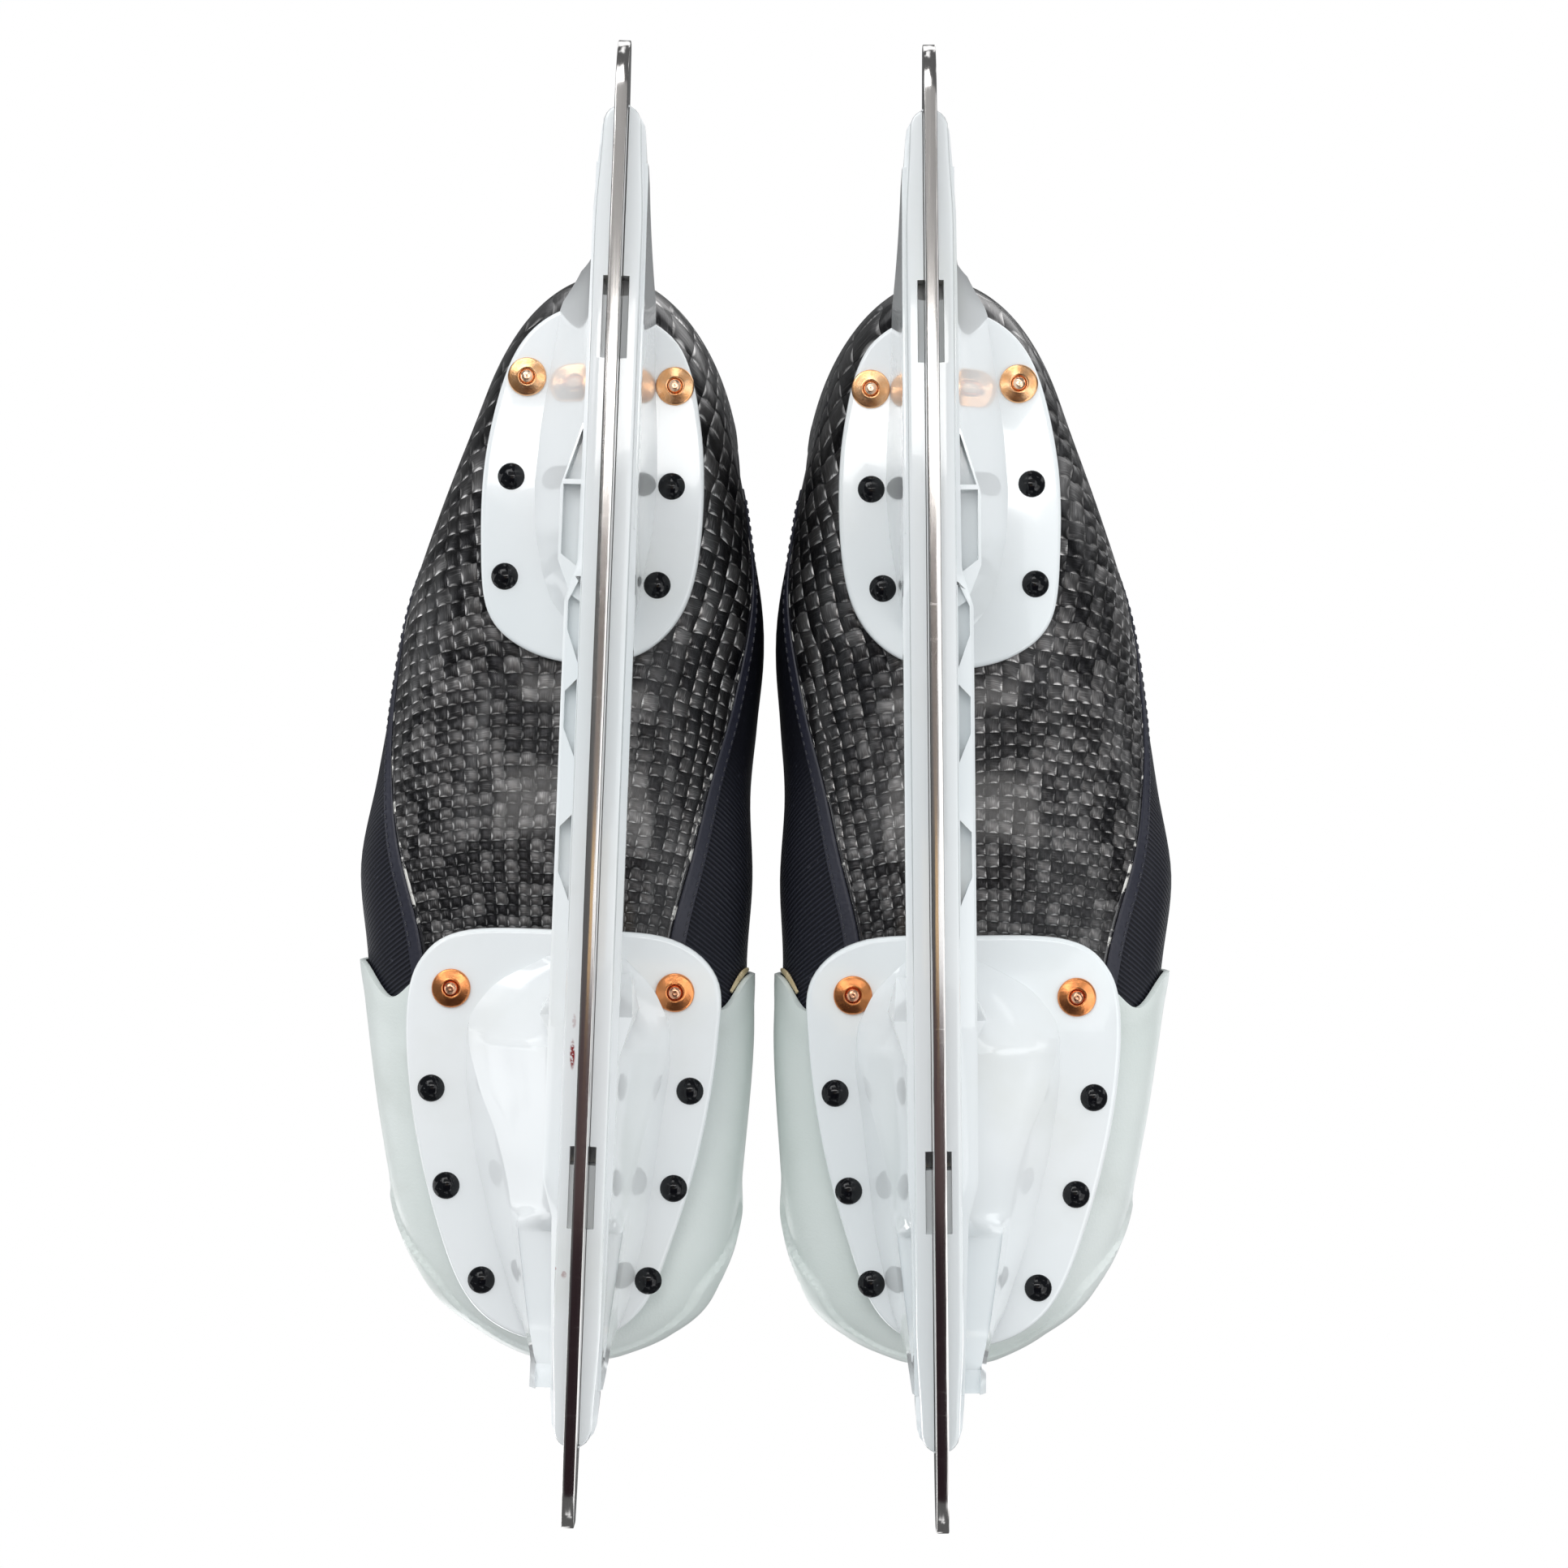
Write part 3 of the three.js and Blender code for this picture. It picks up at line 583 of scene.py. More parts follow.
def carbon_weave():
    """Plain weave under a thin resin skin; each tow is a low dome, with a painted highlight in the base
    colour along its lower and right edges.
    """
    s = Shader("carbon_weave")
    tow = 0.0037
    p = s.position()
    wander = s.noise(p, 38, 2) * 0.0045
    sway = s.noise(p, 61, 2) * 0.0035
    u, v = s.cloth()
    u, v = (u + wander) / tow, (v + sway) / (tow * 0.9)
    column, row = u.math("FLOOR"), v.math("FLOOR")
    across, down = u - column - 0.5, v - row - 0.5
    over = ((column + row) / 2).math("FRACT").math("GREATER_THAN", 0.25)
    long = over * down + (1 - over) * across
    wide = over * across + (1 - over) * down
    crown = 1 - (wide * 2).math("ABSOLUTE") ** 2.6
    arch = 1 - (long * 2).math("ABSOLUTE") ** 2.2
    height = crown * 0.62 + arch * 0.5
    shade = s.cells(s.vector(column, row, 0.5))
    fibre_u = s.noise(s.vector(u * 16, v * 0.9, 0.0), 1, 3)
    fibre_v = s.noise(s.vector(u * 0.9, v * 16, 4.0), 1, 3)
    fibre = over * fibre_u + (1 - over) * fibre_v
    # Painted highlight: bright curved lines along each tow's lower and right edges, broken up by the fibres.
    curve = across * across * 1.4
    lower = (across * 0.3 - down - curve).step(0.33, 0.47)
    right = (across - down * 0.3 - down * down * 1.2).step(0.36, 0.46)
    rim = lower.math("MAXIMUM", right * 0.7) * fibre.step(0.22, 0.58)
    streak = fibre.step(0.50, 0.78)
    tone = (0.010 + shade * shade * 0.16 + streak * (0.05 + shade * 0.22)) * crown.step(-0.25, 0.45)
    # The painted highlight is added onto the weave's tone in the base colour.
    base = s.blend((tone + rim * (0.35 + shade * 0.6)).math("MINIMUM", 1.0), (0.006, 0.006, 0.008),
                   (0.88, 0.86, 0.85))
    weave = s.bump(height + fibre * 0.12 + long * (shade - 0.5) * 0.5, 0.0008, 1.0)
    return s.finish(Base_Color=base, Roughness=0.24 + shade * 0.12, Metallic=0.85, Coat_Weight=0.35,
                    Coat_Roughness=0.10, Normal=weave)


def resin_edge():
    """Clear dark resin bead along the cut edge of the cloth, chipped white in places."""
    s = Shader("resin_edge")
    chips = s.noise(s.position(), 170, 5).step(0.54, 0.60)
    base = s.blend(chips, (0.02, 0.02, 0.023), (0.75, 0.74, 0.70))
    lumps = s.noise(s.position(), 260, 3)
    return s.finish(Base_Color=base, Roughness=0.14 + chips * 0.4, Coat_Weight=0.8,
                    Normal=s.bump(lumps, 0.0005, 0.5))


def ribbed_skin():
    """Dark synthetic skin: fine diagonal ribs at the forefoot that fade to a smooth, speckled one."""
    s = Shader("ribbed_skin")
    p = s.position()
    y = s.axes(p)[1]
    u, v = s.cloth()
    pitch = 0.00105
    lines = ((u.math("ABSOLUTE") * 0.5 + v * 0.866) / pitch).math("FRACT")
    ridge = (lines - 0.5).math("ABSOLUTE") * 2
    zone = 1 - y.step(-0.012, 0.012)
    specks = s.noise(p, 700, 2).step(0.68, 0.76)
    base = s.blend(s.noise(p, 30, 3), (0.005, 0.0055, 0.009), (0.010, 0.011, 0.018))
    base = s.blend(ridge.step(0.45, 0.85) * zone * 0.8, base, (0.035, 0.037, 0.052))
    base = s.blend(specks * 0.35, base, (0.12, 0.125, 0.15))
    grain = s.noise(p, 1600, 2)
    height = ridge * zone + grain * 0.12
    return s.finish(Base_Color=base, Roughness=0.46 + grain * 0.12, Specular_IOR_Level=0.3,
                    Normal=s.bump(height, 0.0004, 0.8))


def smooth_skin(name="smooth_skin", base=(0.012, 0.013, 0.024), rough=0.5):
    """Plain dark synthetic leather with a fine pebble."""
    s = Shader(name)
    p = s.position()
    pebble = s.node("ShaderNodeTexVoronoi", {"feature": "SMOOTH_F1"}, {"Vector": p, "Scale": 1100.0})
    tint = s.blend(s.noise(p, 40, 4), base, tuple(1.7 * c + 0.004 for c in base))
    return s.finish(Base_Color=tint, Roughness=rough - pebble * 0.12, Normal=s.bump(pebble, 0.00016, 0.5))


def blade_steel():
    """Hardened runner steel with a fine lengthwise grind."""
    s = Shader("blade_steel")
    x, y, z = s.axes(s.position())
    grind = s.noise(s.vector(x * 3000, y * 25, z * 900), 1, 2)
    marks = s.noise(s.vector(x * 60, y * 700, z * 60), 1, 3).step(0.62, 0.85)
    base = s.blend(grind, (0.62, 0.60, 0.59), (0.72, 0.70, 0.68))
    return s.finish(Base_Color=base, Metallic=1.0, Roughness=0.085 + grind * 0.07 + marks * 0.12,
                    Normal=s.bump(grind + marks * 0.4, 0.00002, 0.4))


def copper(name, fresh, worn, toe_end_colour):
    """Bare copper, redder on the front rivets, with a little tarnish."""
    s = Shader(name)
    p = s.position()
    y = s.axes(p)[1]
    spread = s.noise(p, 420, 4)
    tarnish = s.noise(p, 150, 4).step(0.55, 0.78)
    front = 1 - y.step(-0.03, 0.05)
    base = s.blend(spread.step(0.3, 0.7), worn, fresh)
    # Rivets towards the toe are blended to a redder, darker colour.
    base = s.blend(front * 0.85, base, toe_end_colour)
    base = s.blend(tarnish * 0.4, base, (0.50, 0.20, 0.09))
    return s.finish(Base_Color=base, Metallic=1.0, Roughness=0.2 + tarnish * 0.15 + spread * 0.08,
                    Normal=s.bump(spread, 0.00014, 0.5))


def black_lacquer():
    """Glossy black finish of the small rivets."""
    s = Shader("black_lacquer")
    p = s.position()
    wear = s.noise(p, 900, 4).step(0.66, 0.74)
    base = s.blend(wear, (0.004, 0.0045, 0.006), (0.10, 0.105, 0.11))
    return s.finish(Base_Color=base, Roughness=0.07 + wear * 0.3, IOR=1.4,
                    Normal=s.bump(s.noise(p, 500, 2), 0.00010, 0.4))


def zinc_plate():
    s = Shader("zinc_plate")
    p = s.position()
    spangle = s.noise(p, 500, 4)
    base = s.blend(spangle, (0.52, 0.53, 0.55), (0.68, 0.69, 0.70))
    return s.finish(Base_Color=base, Metallic=1.0, Roughness=0.25 + spangle * 0.15,
                    Normal=s.bump(spangle, 0.0001, 0.4))


def knit_cloth(name, dark, light, pitch=0.0011, fuzz=0.35):
    """Dense knitted lining or felt, in small offset stitches on the piece's own cloth coordinates."""
    s = Shader(name)
    p = s.position()
    u, v = s.cloth()
    row = (v / pitch).math("FLOOR")
    shift = (row / 2).math("FRACT")
    lobe_u = ((u / pitch + shift) * (2 * math.pi)).math("COSINE")
    lobe_v = ((v / pitch) * (2 * math.pi)).math("COSINE")
    loops = (lobe_u * lobe_v).math("ABSOLUTE")
    hair = s.noise(p, 2600, 3)
    patch = s.noise(p, 60, 3)
    base = s.blend(loops * 0.6 + hair * fuzz, dark, light)
    base = s.blend(patch * 0.3, base, tuple(0.6 * c for c in light))
    return s.finish(Base_Color=base, Roughness=0.82 + hair * 0.12, Sheen_Weight=0.35, Sheen_Roughness=0.5,
                    Normal=s.bump(loops * 0.7 + hair * 0.3, 0.0003, 0.7))


def thread():
    s = Shader("thread")
    x, y, z = s.axes(s.position())
    twist = ((x + y + z) * 9000).math("SINE")
    base = s.blend(twist.step(-0.4, 0.6), (0.02, 0.021, 0.03), (0.07, 0.072, 0.085))
    return s.finish(Base_Color=base, Roughness=0.7, Normal=s.bump(twist, 0.0001, 0.5))


def old_glue():
    s = Shader("old_glue")
    p = s.position()
    cloud = s.noise(p, 500, 4)
    base = s.blend(cloud, (0.42, 0.29, 0.12), (0.70, 0.62, 0.42))
    return s.finish(Base_Color=base, Roughness=0.3 + cloud * 0.2, Normal=s.bump(cloud, 0.0004, 0.6))


def floor_paint():
    """A pale floor seen from above, fading out with distance; from below it lets the view through."""
    s = Shader("studio_floor")
    base = s.blend(s.noise(s.position(), 8, 3), (0.80, 0.81, 0.82), (0.84, 0.845, 0.85))
    front = s.node("ShaderNodeBsdfDiffuse", {}, {"Color": base})
    clear = s.node("ShaderNodeBsdfTransparent")
    behind = s.node("ShaderNodeNewGeometry", output="Backfacing")
    away = s.node("ShaderNodeVectorMath", {"operation": "LENGTH"}, {0: s.position()}, output="Value")
    hidden = behind.math("MAXIMUM", away.step(0.35, 1.5))
    mixed = s.node("ShaderNodeMixShader", {}, {0: hidden, 1: front, 2: clear})
    s.node("ShaderNodeOutputMaterial", {}, {"Surface": mixed})
    return s.material


MATERIALS = {
    "white": white_nylon(), "cap": cap_plastic(), "carbon": carbon_weave(), "resin": resin_edge(),
    "ribbed": ribbed_skin(), "skin": smooth_skin(), "steel": blade_steel(),
    "burr": copper("copper_burr", (0.97, 0.60, 0.34), (0.90, 0.45, 0.19), (0.80, 0.28, 0.09)),
    "peen": copper("copper_peen", (1.0, 0.74, 0.55), (0.96, 0.60, 0.40), (0.93, 0.48, 0.30)),
    "lacquer": black_lacquer(), "zinc": zinc_plate(), "thread": thread(), "glue": old_glue(),
    "binding": smooth_skin("binding_tape", (0.016, 0.017, 0.028), 0.6),
    "guard": smooth_skin("moulded_guard", (0.02, 0.021, 0.032), 0.42),
    "felt": knit_cloth("tongue_felt", (0.020, 0.021, 0.030), (0.075, 0.078, 0.095)),
    "lining": knit_cloth("ankle_lining", (0.028, 0.029, 0.036), (0.11, 0.112, 0.125), 0.0016, 0.5),
    "insole": knit_cloth("insole_cloth", (0.05, 0.05, 0.055), (0.16, 0.16, 0.17), 0.0013, 0.4),
}


def dress(obj, material, body, stands_for=()):
    """Gives a finished piece its material and its body, and hides the CAD nodes that it stands for."""
    obj.data.materials.clear()
    obj.data.materials.append(MATERIALS[material])
    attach(obj, body)
    if stands_for:
        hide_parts(*stands_for)
    return obj


# ---------------------------------------------------------------- geometry node tools
class Tree:
    """Builds one geometry node group."""

    def __init__(self, name, inputs):
        self.group = bpy.data.node_groups.new(name, "GeometryNodeTree")
        face = self.group.interface
        face.new_socket("Geometry", in_out="INPUT", socket_type="NodeSocketGeometry")
        self.ids = {label: face.new_socket(label, in_out="INPUT", socket_type=kind).identifier
                    for label, kind in inputs.items()}
        face.new_socket("Geometry", in_out="OUTPUT", socket_type="NodeSocketGeometry")
        self.input = self.group.nodes.new("NodeGroupInput").outputs

    def node(self, kind, settings=None, inputs=None, output=0):
        made = self.group.nodes.new(kind)
        for key, value in (settings or {}).items():
            setattr(made, key, value)
        for key, value in (inputs or {}).items():
            if isinstance(value, bpy.types.NodeSocket):
                self.group.links.new(value, made.inputs[key])
            else:
                made.inputs[key].default_value = value
        return made.outputs[output]

    def close(self, geometry):
        """Ends the tree in real meshes with the material."""
        real = self.node("GeometryNodeRealizeInstances", {}, {0: geometry})
        dressed = self.node("GeometryNodeSetMaterial", {}, {0: real, 2: self.input["Material"]})
        out = self.group.nodes.new("NodeGroupOutput")
        self.group.links.new(dressed, out.inputs[0])
        return self


def placing_tree():
    """Copies of one piece on points, each facing its own way and turned a little about its axis."""
    t = Tree("place copies", {"Piece": "NodeSocketObject", "Size": "NodeSocketFloat",
                              "Material": "NodeSocketMaterial"})
    facing = t.node("GeometryNodeInputNamedAttribute", {"data_type": "FLOAT_VECTOR"}, {0: "facing"})
    turn = t.node("GeometryNodeInputNamedAttribute", {"data_type": "FLOAT"}, {0: "turn"})
    piece = t.node("GeometryNodeObjectInfo", {}, {0: t.input["Piece"]}, output=4)
    aligned = t.node("FunctionNodeAlignRotationToVector", {"axis": "Z"}, {"Vector": facing})
    spin = t.node("FunctionNodeAxisAngleToRotation", {}, {0: (0.0, 0.0, 1.0), 1: turn})
    both = t.node("FunctionNodeRotateRotation", {"rotation_space": "LOCAL"}, {0: aligned, 1: spin})
    copies = t.node("GeometryNodeInstanceOnPoints", {}, {"Points": t.input["Geometry"], "Instance": piece,
                                                         "Rotation": both, "Scale": t.input["Size"]})
    return t.close(copies)


def stitching_tree():
    """Short rounded stitches spaced along a line."""
    t = Tree("stitch along", {"Spacing": "NodeSocketFloat", "Length": "NodeSocketFloat",
                              "Thickness": "NodeSocketFloat", "Material": "NodeSocketMaterial"})
    line = t.node("GeometryNodeMeshToCurve", {}, {0: t.input["Geometry"]})
    spaced = t.node("GeometryNodeResampleCurve", {"mode": "LENGTH"},
                    {"Curve": line, "Length": t.input["Spacing"]})
    along = t.node("GeometryNodeInputTangent")
    aligned = t.node("FunctionNodeAlignRotationToVector", {"axis": "X"}, {"Vector": along})
    bead = t.node("GeometryNodeMeshIcoSphere", {}, {"Radius": 1.0, "Subdivisions": 1})
    size = t.node("ShaderNodeCombineXYZ", {}, {0: t.input["Length"], 1: t.input["Thickness"],
                                               2: t.input["Thickness"]})
    copies = t.node("GeometryNodeInstanceOnPoints", {}, {"Points": spaced, "Instance": bead,
                                                         "Rotation": aligned, "Scale": size})
    return t.close(copies)


PLACING, STITCHING = placing_tree(), stitching_tree()


def run_tree(obj, tree, **values):
    """Runs a geometry node group on an object and keeps the result as plain mesh."""
    modifier = obj.modifiers.new("made", "NODES")
    modifier.node_group = tree.group
    for label, value in values.items():
        modifier[tree.ids[label.replace("_", " ")]] = value
    settle(obj, sharp=35)
    return obj


def turned(name, profile, segments):
    """A piece turned round the z axis from a profile of [radius, z] points in millimetres."""
    angles = np.linspace(0, 2 * math.pi, segments, endpoint=False)
    rings = [(r * math.cos(a), r * math.sin(a), z) for r, z in profile for a in angles]
    points = [tuple(c * MM for c in p) for p in rings]
    faces = grid_faces(len(profile), segments, wrap=True)
    mesh = bpy.data.meshes.new(name)
    mesh.from_pydata(points, [], faces)
    obj = linked(name, mesh)
    work = bmesh.new()
    work.from_mesh(mesh)
    bmesh.ops.remove_doubles(work, verts=work.verts, dist=1e-7)
    bmesh.ops.holes_fill(work, edges=work.edges)
    work.to_mesh(mesh)
    work.free()
    face_outwards(obj)
    return obj


def placed_copies(name, places, facings, side, piece, material, seed=1):
    """Copies of a piece at places in the skate's frame; the piece is used up."""
    rng = np.random.default_rng(seed)
    mesh = bpy.data.meshes.new(name)
    mesh.from_pydata(to_world(places, side).tolist(), [], [])
    facing = mesh.attributes.new("facing", "FLOAT_VECTOR", "POINT")
    away = to_world(np.asarray(places, float) + facings, side) - to_world(places, side)
    facing.data.foreach_set("vector", (away / MM).ravel())
    turn = mesh.attributes.new("turn", "FLOAT", "POINT")
    turn.data.foreach_set("value", rng.uniform(0, 2 * math.pi, len(places)))
    obj = linked(name, mesh)
    run_tree(obj, PLACING, Piece=piece, Size=1.0, Material=MATERIALS[material])
    bpy.data.objects.remove(piece)
    return obj


def stitches(name, line, side, spacing=2.6, length=0.95, thickness=0.28):
    """A row of stitches along a line of points in the skate's frame."""
    mesh = bpy.data.meshes.new(name)
    world = to_world(line, side)
    mesh.from_pydata(world.tolist(), [(i, i + 1) for i in range(len(world) - 1)], [])
    obj = linked(name, mesh)
    return run_tree(obj, STITCHING, Spacing=spacing * MM, Length=length * MM, Thickness=thickness * MM,
                    Material=MATERIALS["thread"])


def bead(name, line, side, radius, flat=1.0, normals=None, segments=10):
    """A smooth bead along a line of points; flat squeezes it along the normals."""
    line = np.asarray(line, float)
    count = len(line)
    tangent = np.vstack([line[1:], line[-1:]]) - np.vstack([line[:1], line[:-1]])
    tangent /= np.maximum(np.linalg.norm(tangent, axis=1, keepdims=True), 1e-9)
    up = np.tile([0.0, 0.0, 1.0], (count, 1)) if normals is None else np.asarray(normals, float)
    across = np.cross(tangent, up)
    across /= np.maximum(np.linalg.norm(across, axis=1, keepdims=True), 1e-9)
    up = np.cross(across, tangent)
    radius = np.broadcast_to(np.asarray(radius, float), count)[:, None]
    rings = []
    for a in np.linspace(0, 2 * math.pi, segments, endpoint=False):
        rings.append(line + across * radius * math.cos(a) + up * radius * flat * math.sin(a))
    return tube_mesh(name, np.stack(rings, 1), side)


def skin_normals(k, share):
    """Outward directions square to the boot surface."""
    k, share = np.broadcast_arrays(np.asarray(k, float), np.asarray(share, float))
    step_k, step_share = 0.05, 0.004
    along = boot(k + step_k, share, 0.0) - boot(k - step_k, share, 0.0)
    over = boot(k, share + step_share, 0.0) - boot(k, share - step_share, 0.0)
    away = np.cross(along, over)
    away /= np.maximum(np.linalg.norm(away, axis=-1, keepdims=True), 1e-9)
    outward = ((boot(k, share, 0.0) - boot(k, share, 1.0)) * away).sum(-1, keepdims=True)
    return np.where(outward < 0, -away, away)


# ---------------------------------------------------------------- boot pieces
def span(first, last, per_ring=7):
    """Ring positions from first to last at an even density."""
    return np.linspace(first, last, int(round((last - first) * per_ring)) + 1)


def carbon_shell(tag, side):
    k = span(0.8, COUNTER_TOP)[:, None]
    t = np.linspace(-1, 1, 113)[None, :]
    share = np.where(t > 0, t * shell_edge(k, 1), t * shell_edge(k, -1))
    obj = wall(f"{tag}_carbon_cup", k, share, 0.0, 2.2, side, rim=0.5, even=True)
    return dress(obj, "carbon", f"{tag}_skate", [f"{tag}_carbon_shell"])


def resin_bead(name, k, share, side):
    depth, radius, flat = 0.35, 0.75, 0.55
    return bead(name, boot(k, share, depth), side, radius, flat, skin_normals(k, share))


def resin_beads(tag, side):
    """The sealed cut edge of the cloth, from the toe cap round the heel counter on both sides."""
    k = span(CAP_EDGE - 0.4, COUNTER_TOP, 10)
    made = []
    for word, hand in HANDS.items():
        share = hand * (shell_edge(k, hand) - 0.002)
        made.append(resin_bead(f"{tag}_{word}_bead", k, share, side))
    share = np.linspace(-1, 1, 40) * (shell_edge(COUNTER_TOP, 1) - 0.002)
    made.append(resin_bead(f"{tag}_top_bead", np.full_like(share, COUNTER_TOP), share, side))
    return dress(joined(f"{tag}_resin_edge", made), "resin", f"{tag}_skate")


def cap_edge(share):
    """Ring position of the toe cap's rear edge: scooped beside the plate, long over the toes."""
    reach = np.abs(share)
    scoop = 0.42 * np.exp(-((reach - 0.27) / 0.09) ** 2)
    point = 0.18 * smooth_step(0.72, 1.0, reach)
    return CAP_EDGE - scoop - 0.12 + point


def toe_cap(tag, side):
    t = np.linspace(0, 1, 110)[:, None]
    share = np.linspace(-1, 1, 193)[None, :-1]
    k = t * cap_edge(share)
    _, y, z = np.moveaxis(boot(k, share, 0.0), -1, 0)
    crease_z, crease_rise = 63.4, 13
    over_crease = z - crease_z - crease_rise * smooth_step(-130, -106, y)
    fold = smooth_step(0, 0.7, over_crease) * (1 - smooth_step(-112, -100, y))
    band = fold * (1 - smooth_step(5.0, 6.5, over_crease))
    edge_lip = 0.35 * smooth_step(0.93, 0.99, t + 0 * share)
    outer = -1.5 - 0.3 * fold - 1.1 * band - edge_lip
    obj = wall(f"{tag}_toe_bumper", k, share + 0 * k, outer, -0.35, side, rim=0.25, wrap=True, tip=True)
    return dress(obj, "cap", f"{tag}_skate", [f"{tag}_toe_cap"])


def quarter(tag, side, hand, word):
    k = span(6, COLLAR)[:, None]
    t = np.linspace(0, 1, 61)[None, :]
    low = shell_edge(k, hand) + 0.004
    share = hand * (low + t * (throat_edge(k) - low))
    crease = 0.5 * np.exp(-((k - 9.2) / 0.9) ** 2) * np.exp(-((np.abs(share) - 0.7) / 0.12) ** 2)
    obj = wall(f"{tag}_{word}_side_panel", k, share, 0.3 + crease, 2.4, side, rim=0.5)
    return dress(obj, "ribbed", f"{tag}_skate", [f"{tag}_{word}_quarter"])


def border_width(k):
    """Share of its full width that the border strip has; it runs out towards the heel."""
    return 1 - 0.93 * smooth_step(10.2, 12.4, k)


def border_strip(tag, side, hand, word):
    """The smooth strip between the ribbed panel and the edge of the cloth."""
    k = span(CAP_EDGE - 0.5, 12.5)[:, None]
    t = np.linspace(0, 1, 9)[None, :]
    low = shell_edge(k, hand) + BORDER["start"]
    share = hand * (low + t * BORDER["width"] * border_width(k))
    obj = wall(f"{tag}_{word}_border", k, share, -0.35, 0.25, side, rim=0.3)
    return dress(obj, "skin", f"{tag}_skate")


FACING_SHARE = 0.10
EYELET_RINGS = np.array([7.9, 9.0, 10.3, 11.9, 13.8, 15.6, 17.2, 18.6])


def facing(tag, side, hand, word):
    """The reinforced strip that carries the eyelets beside the throat."""
    k = span(7.15, COLLAR - 0.1)[:, None]
    t = np.linspace(0, 1, 15)[None, :]
    inner = throat_edge(k)
    share = hand * (inner - FACING_SHARE * (1 - t) + 0.001)
    obj = wall(f"{tag}_{word}_eyelet_facing", k, share, -0.95, 0.2, side, rim=0.45)
    return dress(obj, "skin", f"{tag}_skate")


def eyelets(tag, side):
    places, facings = [], []
    for hand in (1, -1):
        share = hand * (throat_edge(EYELET_RINGS) - FACING_SHARE * 0.45)
        places.append(boot(EYELET_RINGS, share, -1.0))
        facings.append(skin_normals(EYELET_RINGS, share))
    ring = turned("eyelet", [(2.0, -2.5), (2.0, 0.25), (2.5, 0.7), (3.3, 0.6), (3.7, 0.0), (3.4, -0.4),
                             (2.6, -2.5), (2.0, -2.5)], 20)
    obj = placed_copies(f"{tag}_eyelets", np.vstack(places), np.vstack(facings), side, ring, "zinc")
    return dress(obj, "zinc", f"{tag}_skate")


def stitching(tag, side):
    rows = []
    k = span(7.3, COLLAR - 0.3, 10)
    for word, hand in HANDS.items():
        for offset in (0.094, 0.088, 0.008):
            share = hand * (throat_edge(k) - offset)
            rows.append(stitches(f"{tag}_{word}_stitch_{offset}", boot(k, share, -1.02), side))
        low = span(CAP_EDGE + 0.1, 12.3, 10)
        seam = BORDER["start"] + BORDER["stitch"] * border_width(low)
        share = hand * (shell_edge(low, hand) + seam)
        rows.append(stitches(f"{tag}_{word}_border_stitch", boot(low, share, -0.42), side))
    return dress(joined(f"{tag}_stitching", rows), "thread", f"{tag}_skate")


def tongue(tag, side):
    k = span(THROAT_START, 21)[:, None]
    t = np.linspace(-1, 1, 49)[None, :]
    edge = throat_edge(k) + 0.02
    across = 1 + t * (1 - edge)
    share = np.where(across > 1, across - 2, across)
    crown = 1 - t**2
    quilt = np.abs(np.cos((k - 8.0) * math.pi / 2.4)) ** 0.6 * crown
    outer = 2.6 - 1.7 * crown**0.6 - quilt * 1.1
    inner = 4.6 + 3.7 * crown**0.6
    obj = wall(f"{tag}_padded_tongue", k, share, outer, inner, side, rim=0.9)
    return dress(obj, "felt", f"{tag}_tongue", [f"{tag}_tongue"])


def tongue_binding(tag, side):
    """The tape sewn round the tongue's edge."""
    up = span(THROAT_START + 0.1, 21, 8)
    edge = throat_edge(up) + 0.022
    over = np.linspace(edge[-1], 2 - edge[-1], 24)[1:-1]
    k = np.concatenate([up, np.full(len(over), 21.0), up[::-1]])
    share = np.concatenate([edge, over, 2 - edge[::-1]])
    share = np.where(share > 1, share - 2, share)
    line = boot(k, share, 3.6)
    obj = bead(f"{tag}_tongue_tape", line, side, 1.5, 1.25, skin_normals(k, share))
    return dress(obj, "binding", f"{tag}_tongue")


def ankle_liner(tag, side):
    k = span(14.5, COLLAR + 0.1)[:, None]
    t = np.linspace(-1, 1, 97)[None, :]
    share = t * (throat_edge(k) - 0.012)
    pad = np.exp(-((k - 17.3) / 1.4) ** 2) * np.exp(-((np.abs(share) - 0.42) / 0.16) ** 2)
    channel = 0.9 * np.exp(-((k - 19.1) / 0.16) ** 2) + 0.9 * np.exp(-((k - 15.6) / 0.16) ** 2)
    inner = 8.2 + 2.2 * pad - channel
    obj = wall(f"{tag}_padded_collar_lining", k, share, 3.4, inner, side, rim=1.1)
    return dress(obj, "lining", f"{tag}_skate", [f"{tag}_ankle_liner"])


def collar_roll(tag, side):
    """The bound top edge that joins the side panels to the lining."""
    reach = throat_edge(COLLAR) - 0.004
    share = np.linspace(-reach, reach, 90)
    k = np.full_like(share, COLLAR + 0.06)
    radius = 2.7 * (0.55 + 0.45 * np.sqrt(np.clip(1 - (share / reach) ** 12, 0, 1)))
    obj = bead(f"{tag}_collar_binding", boot(k, share, 3.4), side, radius, 1.0, None, segments=14)
    return dress(obj, "binding", f"{tag}_skate")


def tendon_guard(tag, side):
    k = span(COUNTER_TOP + 0.05, 21, 14)[:, None]
    t = np.linspace(-1, 1, 41)[None, :]
    share = t * (shell_edge(k, 1) - 0.006) * (1 - 0.16 * smooth_step(20.2, 21, k))
    ribs = 0.5 * np.abs(np.cos((k - 18) * math.pi / 0.42)) ** 6 * (1 - t**6) * smooth_step(17.5, 17.8, k)
    obj = wall(f"{tag}_moulded_tendon_guard", k, share, -0.2 - ribs, 2.4, side, rim=0.8)
    return dress(obj, "guard", f"{tag}_skate", [f"{tag}_tendon_guard"])


